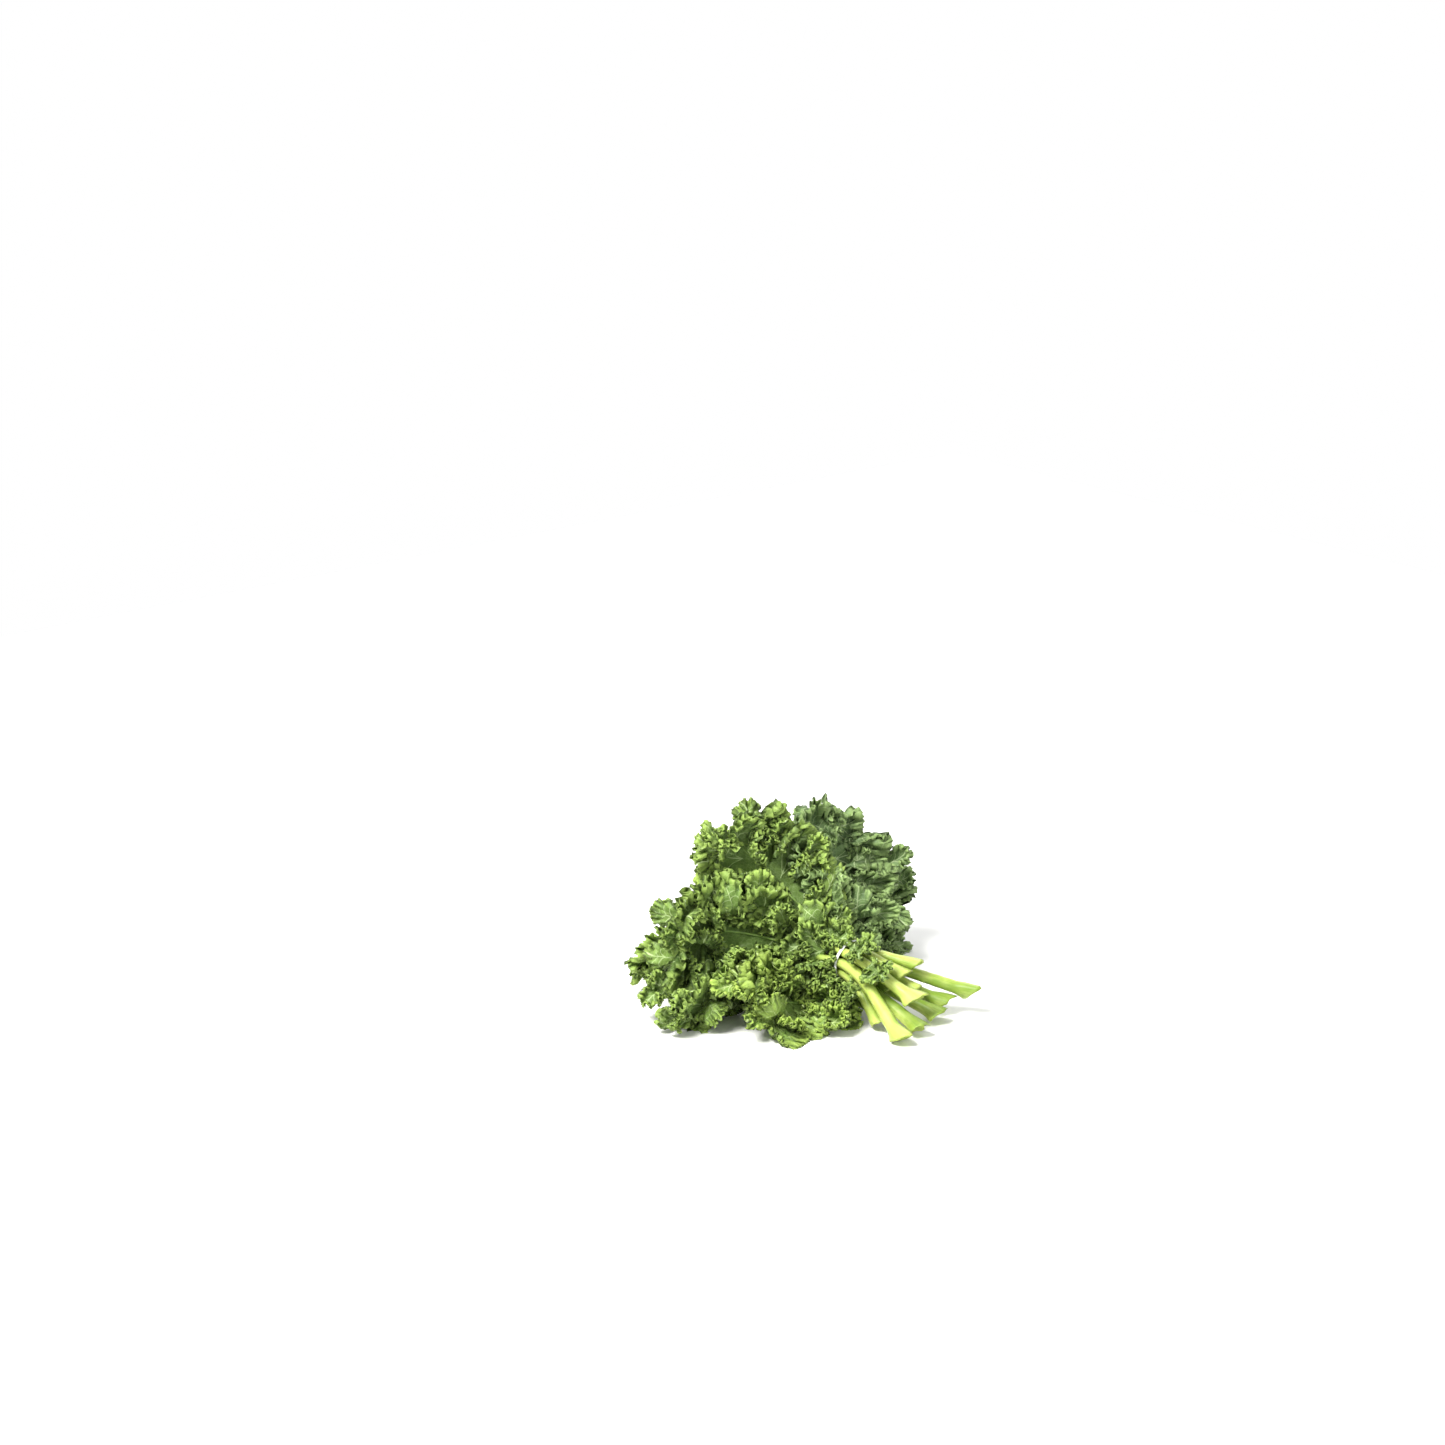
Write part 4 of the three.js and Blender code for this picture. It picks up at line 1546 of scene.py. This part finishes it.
@dataclass(frozen=True)
class StemLeaflet(Blade):
    """A small leaf that grows on a stem below the tie."""

    leaf: Leaf = LEAVES[0]  # whose stem it grows on
    down: float = 10  # from the tie to its foot
    side: float = 0  # the angle round the stem at which it grows, from the top towards +Y
    towards: tuple[float, float, float] = (1, 0, 0)
    length: float = 34
    half: float = 20
    off_stem: float = 0.4  # its foot's distance from the stem's skin

    def sheets(self) -> tuple[Sheet, ...]:
        """Grows the leaflet on its stem, as its node does.

        Returns:
            Its one sheet.
        """
        line, gone = self.leaf.stem_line()
        nearest = int(np.argmin(np.abs(gone + self.down)))
        tangent = unit(line[nearest + 1] - line[nearest - 1])
        side = math.radians(self.side)
        outward = np.array([0, math.sin(side), math.cos(side)])
        outward = unit(outward - tangent * (outward @ tangent))
        radius = float(self.leaf.stem_radius(np.array(-self.down)))
        seed = 2000 + 100 * int(self.name[-1])
        fan = FanSheet(
            Weave(400),
            Lobes(2.5, 9, 25, sinus=0.6, cuff=0.1, curl=(-0.1, 0.3), vein_reach=0.7),
            (Ruffle(12.0, 3.4, 0.1, 0.3, seed + 10), Ruffle(6.5, 1.6, 0.1, 0.6, seed + 20)),
            self.length,
            self.half,
            seed,
            foot=tuple(line[nearest] + outward * (radius + self.off_stem)),
            forward=self.towards,
            facing=tuple(outward),
            bow=-0.15,
            pucker=1.0,
            tint=-0.15,
        )
        return (fan,)


# ---- Stems ----


@dataclass(frozen=True)
class Stem:
    """A leaf's stem and midrib: a ribbed, tapering bar with a flared, cut lower end."""

    leaf: Leaf
    sides: int = 18
    stations: int = 72  # sections from the cut end to the midrib's tip
    flare_length: float = 26
    flare: float = 0.22  # by which the cut end is thicker
    flare_stations: float = 0.12  # share of the stations that the flare has
    heel: float = 0.42  # how much wider than deep the torn end is
    slant: float = 0.75  # how far the end's upper edge stands out, for its radius
    slant_length: float = 16
    dish: float = 0.9  # depth of the end's hollow, for its radius
    tear: float = 1.6  # how far the end's edge is torn to and fro
    rings: tuple[float, ...] = (0.1, 0.12, 0.3, 0.25)  # widths of the end's rings, for its radius
    rib_share: float = 0.86  # how far along its blade the midrib reaches
    rib_slim: float = 0.42  # share of its node's thickness that the midrib has
    rib_ramp: tuple[float, float] = (0, 55)
    green_ramp: tuple[float, float] = (-5, 70)  # where the stem's colour turns to the midrib's
    ridges: int = 7
    ridge: float = 0.035  # their height, for the radius
    swell: float = 0.03  # how unevenly thick it is, for the radius

    def bar(self) -> bmesh.types.BMesh:
        """Makes a straight bar of unit radius.

        Returns:
            The bar, with its stations along Z and rings on its lower face.
        """
        bm = bmesh.new()
        bmesh.ops.create_cone(
            bm, cap_ends=True, segments=self.sides, radius1=1, radius2=1, depth=self.stations
        )
        long_edges = [e for e in bm.edges if abs(e.verts[0].co.z - e.verts[1].co.z) > 0.5]
        bmesh.ops.subdivide_edges(bm, edges=long_edges, cuts=self.stations - 1)
        cap = [f for f in bm.faces if f.calc_center_median().z < 0.4 - self.stations / 2]
        for width in self.rings:
            cap = [f for f in cap if len(f.verts) == self.sides]
            bmesh.ops.inset_region(bm, faces=cap, thickness=width, use_even_offset=True)
        bmesh.ops.poke(bm, faces=[f for f in cap if len(f.verts) == self.sides])
        return bm

    def course(self, along: Array) -> tuple[Array, Array, Array]:
        """Follows the stem and the midrib.

        Args:
            along: Distances from the tie, negative towards the cut end and past it.

        Returns:
            The places of the middle, and the directions towards the tip and outwards.
        """
        line, gone = self.leaf.stem_line()
        tangents = unit(np.gradient(line, axis=0))
        _, _, seat_out = self.leaf.axes(np.array(0.0))
        below = np.clip(along, gone[0], 0)
        middle = np.stack([np.interp(below, gone, line[:, axis]) for axis in range(3)], -1)
        ahead = unit(np.stack([np.interp(below, gone, tangents[:, axis]) for axis in range(3)], -1))
        middle = middle + ahead * (np.minimum(along - gone[0], 0))[:, None]
        upper, upper_ahead, upper_out = self.leaf.axes(np.maximum(along, 0))
        up = (along > 0)[:, None]
        middle, ahead = np.where(up, upper, middle), np.where(up, upper_ahead, ahead)
        return middle, ahead, np.where(up, upper_out, seat_out)

    def build(self, material: bpy.types.Material) -> bpy.types.Object:
        """Builds the stem as a piece that replaces its node.

        Args:
            material: The stems' material.

        Returns:
            The piece.
        """
        leaf = self.leaf
        name = "stem_" + leaf.name
        piece = new_piece(name, self.bar(), material)
        x, y, z = vertex_places(piece).T
        angle, across = np.arctan2(y, x), np.hypot(x, y)
        share = (z + self.stations / 2) / self.stations
        end = share < 1e-4
        below = -leaf.stem_line()[1][0]
        stops = [-below, self.flare_length - below, 0, lerp(leaf.blade_start, leaf.length, self.rib_share)]
        along = np.interp(share, [0, self.flare_stations, 0.5, 1], stops)

        sway = Sway(leaf.seed + 40, 30.0)
        ridge = 1 + self.ridge * np.cos(self.ridges * angle + 0.6 * sway(along))
        ridge = ridge + self.swell * sway(along * 1.7 + 50)
        near_end = smoothstep(-along, below - self.flare_length, below) ** 1.5
        slim = lerp(1, self.rib_slim, smoothstep(along, *self.rib_ramp))
        radius = leaf.stem_radius(along) * slim * ridge * (1 + self.flare * near_end)
        notch = Sway(leaf.seed + 41, 1.3)(np.cos(angle), np.sin(angle))
        wide = 1 + self.heel * near_end * (1 + 0.4 * notch)
        uneven = 1 + 0.3 * Sway(leaf.seed + 42, 0.8)(x, y)
        hollow = np.where(end, self.dish * radius * (1 - across**2) * uneven, 0)
        torn = self.tear * notch * smoothstep(across, 0.4, 1) * end

        middle, ahead, outward = self.course(along + hollow - torn)
        beside = unit(np.cross(ahead, outward))
        facing = unit(np.cross(beside, ahead))
        size = (radius * across)[:, None]
        radial = beside * size * (wide * np.cos(angle))[:, None] + facing * size * np.sin(angle)[:, None]
        lean = self.slant * radial[:, 2] * smoothstep(-along, below - self.slant_length, below)
        move_vertices(piece, placed(middle + radial - ahead * lean[:, None]))

        # its second value also places the stem's painted highlight and painted shade
        store(piece, "straight", np.stack([radius * np.cos(angle), radius * np.sin(angle), along], -1))
        face = np.where(end, smoothstep(1 - across, 0.0, 0.06), 0)
        hollow_share = 1 - smoothstep(across, 0.1, 0.9)
        store(piece, "kind", np.stack([smoothstep(along, *self.green_ramp), face, hollow_share], -1))
        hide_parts(name)
        return piece


# ---- The tie ----


@dataclass(frozen=True)
class Tie:
    """The twist tie: a flat strip over a wire, wrapped round the stems, and its twisted ends."""

    width: float = 4
    thickness: float = 0.8  # over the wire
    clearance: float = 0.5  # between the stems and the band
    seat: float = 22.2  # reach of the outer stems
    edge: float = 0.22  # share of its thickness that the strip has beside the wire
    wire: float = 0.28  # and how much more over it
    wire_slope: float = 3.2  # the higher, the narrower the wire's ridge
    steps: int = 96  # round the band
    sway: float = 0.5  # how far the band strays along the stems
    tail: float = 15  # its length
    tail_side: float = 25  # degrees that the tail points aside
    tail_lean: float = 62  # degrees that it leans over from upright
    tail_steps: int = 26
    tail_turns: float = 1.6
    tail_slim: float = 0.55  # width that a twisted end keeps
    spread: float = 0.9  # from the tail's middle to each end's
    flare_start: float = 0.85  # share of the tail where its two ends part
    flare: float = 1.6  # by which they part, for their spread

    @property
    def outer(self) -> float:
        """The band's outer radius."""
        return self.seat + self.clearance + self.thickness

    def section(self, bm: bmesh.types.BMesh, half_sides: int = 10) -> list[bmesh.types.BMVert]:
        """Adds the strip's closed section, a flat lens with the wire's ridge, in the XZ plane.

        Args:
            bm: The tie.
            half_sides: Half the section's number of sides.

        Returns:
            The section's vertices.
        """
        ring = bmesh.ops.create_circle(bm, segments=2 * half_sides, radius=1)["verts"]
        for vertex in ring:
            angle = math.atan2(vertex.co.y, vertex.co.x)
            ridge = self.wire * math.exp(-((math.cos(angle) * self.wire_slope) ** 2))
            flat = self.thickness * (self.edge + ridge)
            vertex.co = Vector((self.width / 2 * math.cos(angle), 0, flat * math.sin(angle) * 2))
        return ring

    def build(self, material: bpy.types.Material) -> bpy.types.Object:
        """Builds the tie as a piece that replaces its node.

        Args:
            material: The tie's material.

        Returns:
            The piece.
        """
        bm = bmesh.new()
        ring = self.section(bm)
        bmesh.ops.translate(bm, verts=ring, vec=(0, 0, self.outer - self.thickness / 2))
        edges = list({e for v in ring for e in v.link_edges})
        round_axis = {"cent": (0, 0, 0), "axis": (1, 0, 0), "angle": 2 * math.pi}
        bmesh.ops.spin(bm, geom=edges, steps=self.steps, use_merge=True, **round_axis)
        sway = Sway(77, 1.1)
        for vertex in bm.verts:
            angle = math.atan2(vertex.co.y, vertex.co.z)
            vertex.co.x += self.sway * float(sway(math.cos(angle), math.sin(angle)))
        for start in (0, math.pi):
            self.twist(bm, start)
        bmesh.ops.recalc_face_normals(bm, faces=bm.faces)
        piece = new_piece("twist_tie", bm, material)
        move_vertices(piece, placed(vertex_places(piece) + [0, 0, ROSETTE.neck_height]))
        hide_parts("tie")
        return piece

    def twist(self, bm: bmesh.types.BMesh, start: float) -> None:
        """Draws one end of the strip out from the band in a helix round its fellow.

        Args:
            bm: The tie.
            start: The end's turn in the helix, in radians.
        """
        foot = self.section(bm)
        upright = Matrix.Rotation(math.pi / 2, 3, "X")
        bmesh.ops.rotate(bm, verts=foot, cent=(0, 0, 0), matrix=upright)
        bmesh.ops.contextual_create(bm, geom=list({e for v in foot for e in v.link_edges}))
        faces = [f for f in bm.faces if all(v in foot for v in f.verts)]
        layers = [foot]
        for _ in range(self.tail_steps):
            made = bmesh.ops.extrude_face_region(bm, geom=faces)["geom"]
            # A face that the extrusion leaves behind would stand across the strip.
            bmesh.ops.delete(bm, geom=[f for f in faces if f.is_valid], context="FACES_ONLY")
            faces = [g for g in made if isinstance(g, bmesh.types.BMFace)]
            layers.append([g for g in made if isinstance(g, bmesh.types.BMVert)])
        for number, layer in enumerate(layers):
            share = number / self.tail_steps
            turn = Matrix.Rotation(start + share * self.tail_turns * 2 * math.pi, 2)
            parted = max(0.0, share - self.flare_start) / (1 - self.flare_start)
            off = Vector((0, self.spread * (1 + self.flare * parted)))
            for vertex in layer:
                vertex.co = (self.tail_slim * (turn @ (vertex.co.xy + off))).to_3d()
                vertex.co.z = share * self.tail
        moved = [v for layer in layers for v in layer]
        lean = Matrix.Rotation(math.radians(self.tail_lean), 3, "Y")
        side = Matrix.Rotation(math.radians(-self.tail_side), 3, "X")
        bmesh.ops.rotate(bm, verts=moved, cent=(0, 0, 0), matrix=lean)
        bmesh.ops.translate(bm, verts=moved, vec=(0, 0, self.outer - 0.3))
        bmesh.ops.rotate(bm, verts=moved, cent=(0, 0, 0), matrix=side)


# ---- The bunch and its studio ----


@dataclass(frozen=True)
class Bunch:
    """The whole bunch: twelve leaves, three small stem leaves and the tie."""

    def build(self) -> list[bpy.types.Object]:
        """Builds and dresses every piece.

        Returns:
            The pieces.
        """
        greens = {tone: LeafFinish(tone).material() for tone in Tone}
        stem = StemFinish().material()
        pieces = []
        for leaf in LEAVES:
            pieces.append(Stem(leaf).build(stem))
            pieces.append(LeafBlade("blade_" + leaf.name, leaf.tone, leaf=leaf).build(greens[leaf.tone]))
        pieces += [leaflet.build(greens[leaflet.tone]) for leaflet in self.leaflets()]
        return [*pieces, Tie().build(TieFinish().material())]

    def leaflets(self) -> tuple[StemLeaflet, ...]:
        """Lists the small leaves on the stems below the tie.

        Returns:
            The leaflets.
        """
        second = partial(StemLeaflet, tone=Tone.DEEP, leaf=LEAVES[1])
        sixth = partial(StemLeaflet, tone=Tone.DEEP, leaf=LEAVES[5])
        return (
            second("leaflet_1", down=9, side=-20, towards=(0.9, 0.35, 0.12)),
            second("leaflet_2", down=38, side=-42, towards=(1, -0.15, -0.2), length=36, half=18),
            sixth("leaflet_3", down=24, side=-100, towards=(0.62, -0.62, -0.48), length=52, half=30),
        )


@dataclass(frozen=True)
class Lamp:
    """A round soft light that looks at the bunch."""

    name: str
    place: tuple[float, float, float]  # metres
    size: float  # metres
    power: float  # watts
    tint: tuple[float, float, float]
    aim: tuple[float, float, float] = (0, 0, 0.08)

    def hang(self) -> None:
        """Hangs the lamp in its place."""
        light = bpy.data.lights.new(self.name, "AREA")
        light.shape = "DISK"
        light.size = self.size
        light.energy = self.power
        light.color = self.tint
        lamp = bpy.data.objects.new(self.name, light)
        lamp.location = self.place
        way = Vector(self.aim) - Vector(self.place)
        lamp.rotation_euler = way.to_track_quat("-Z", "Y").to_euler()
        bpy.context.scene.collection.objects.link(lamp)


@dataclass(frozen=True)
class Studio:
    """A white floor, soft light and the camera."""

    floor_reach: float = 1.85  # metres from the bunch to the floor's edges
    lamps: tuple[Lamp, ...] = (
        Lamp("key", (0.45, -1.5, 1.95), 1.0, 120, (1, 0.985, 0.96)),
        Lamp("fill", (2.2, -0.6, 1.3), 1.8, 8, (0.96, 0.98, 1)),
        Lamp("back", (-1.3, 1.6, 1.9), 1.4, 26, (1, 1, 1)),
    )
    horizon: float = 1.0  # the surroundings' light from the sides
    zenith: float = 0.56  # and from above
    sky_ramp: tuple[float, float] = (0.3, 0.8)  # sines of the heights between which it changes
    azimuth: float = 50
    elevation: float = 20
    lens: float = 100
    picture: int = 1445  # pixels along each side of the picture
    pixel: float = 1.05  # mm at the bunch for each pixel
    neck_pixel: tuple[float, float] = (852, 962)  # where the bunch's neck shows

    def build(self) -> None:
        """Sets up the floor, the lights and the camera."""
        self.floor()
        for lamp in self.lamps:
            lamp.hang()
        self.surroundings()
        self.camera()

    def floor(self) -> None:
        """Lays a floor under the bunch, as wide as the lights make it evenly white."""
        bm = bmesh.new()
        bmesh.ops.create_grid(bm, x_segments=1, y_segments=1, size=self.floor_reach)
        mesh = bpy.data.meshes.new("floor")
        bm.to_mesh(mesh)
        bm.free()
        mesh.materials.append(FloorFinish().material())
        floor = bpy.data.objects.new("floor", mesh)
        bpy.context.scene.collection.objects.link(floor)

    def surroundings(self) -> None:
        """Puts white light all round, brighter at the sides than overhead."""
        world = bpy.data.worlds.new("studio")
        world.use_nodes = True
        world.node_tree.nodes.clear()
        add = partial(add_node, world.node_tree)
        way = add("SeparateXYZ", None, {0: add("TexCoord").outputs["Generated"]}).outputs["Z"]
        low, high = self.sky_ramp
        bright = add("MapRange", None, {0: way, 1: low, 2: high, 3: self.horizon, 4: self.zenith})
        glow = add("Background", None, {"Color": (1, 1, 1, 1), "Strength": bright})
        add("OutputWorld", None, {"Surface": glow})
        bpy.context.scene.world = world

    def camera(self) -> None:
        """Aims the camera so that the neck shows at its pixel."""
        data = bpy.data.cameras.new("camera")
        data.lens = self.lens
        data.clip_end = 100
        camera = bpy.data.objects.new("camera", data)
        bpy.context.scene.collection.objects.link(camera)
        bpy.context.scene.camera = camera
        turn, height = math.radians(self.azimuth), math.radians(self.elevation)
        level = math.cos(height)
        back = Vector((math.sin(turn) * level, -math.cos(turn) * level, math.sin(height)))
        neck = Vector(neck_place()) * MM
        frame_width = self.picture * self.pixel * MM
        distance = frame_width / 2 / (data.sensor_width / 2 / self.lens)
        camera.location = neck + back * distance
        right, down = (place - self.picture / 2 for place in self.neck_pixel)
        yaw = math.atan(right * self.pixel * MM / distance)
        pitch = math.atan(down * self.pixel * MM / distance)
        look = (-back).to_track_quat("-Z", "Y")
        camera.rotation_mode = "QUATERNION"
        camera.rotation_quaternion = look @ Quaternion((0, 1, 0), yaw) @ Quaternion((1, 0, 0), pitch)


def main() -> None:
    """Builds the bunch and its studio, and logs each piece's vertex count."""
    logging.basicConfig(level=logging.INFO, format="%(message)s")
    bpy.context.scene.view_settings.view_transform = "Standard"
    for piece in Bunch().build():
        LOG.info("%s: %d vertices", piece.name, len(piece.data.vertices))
    Studio().build()
    bpy.context.view_layer.update()


if __name__ == "__main__":
    main()
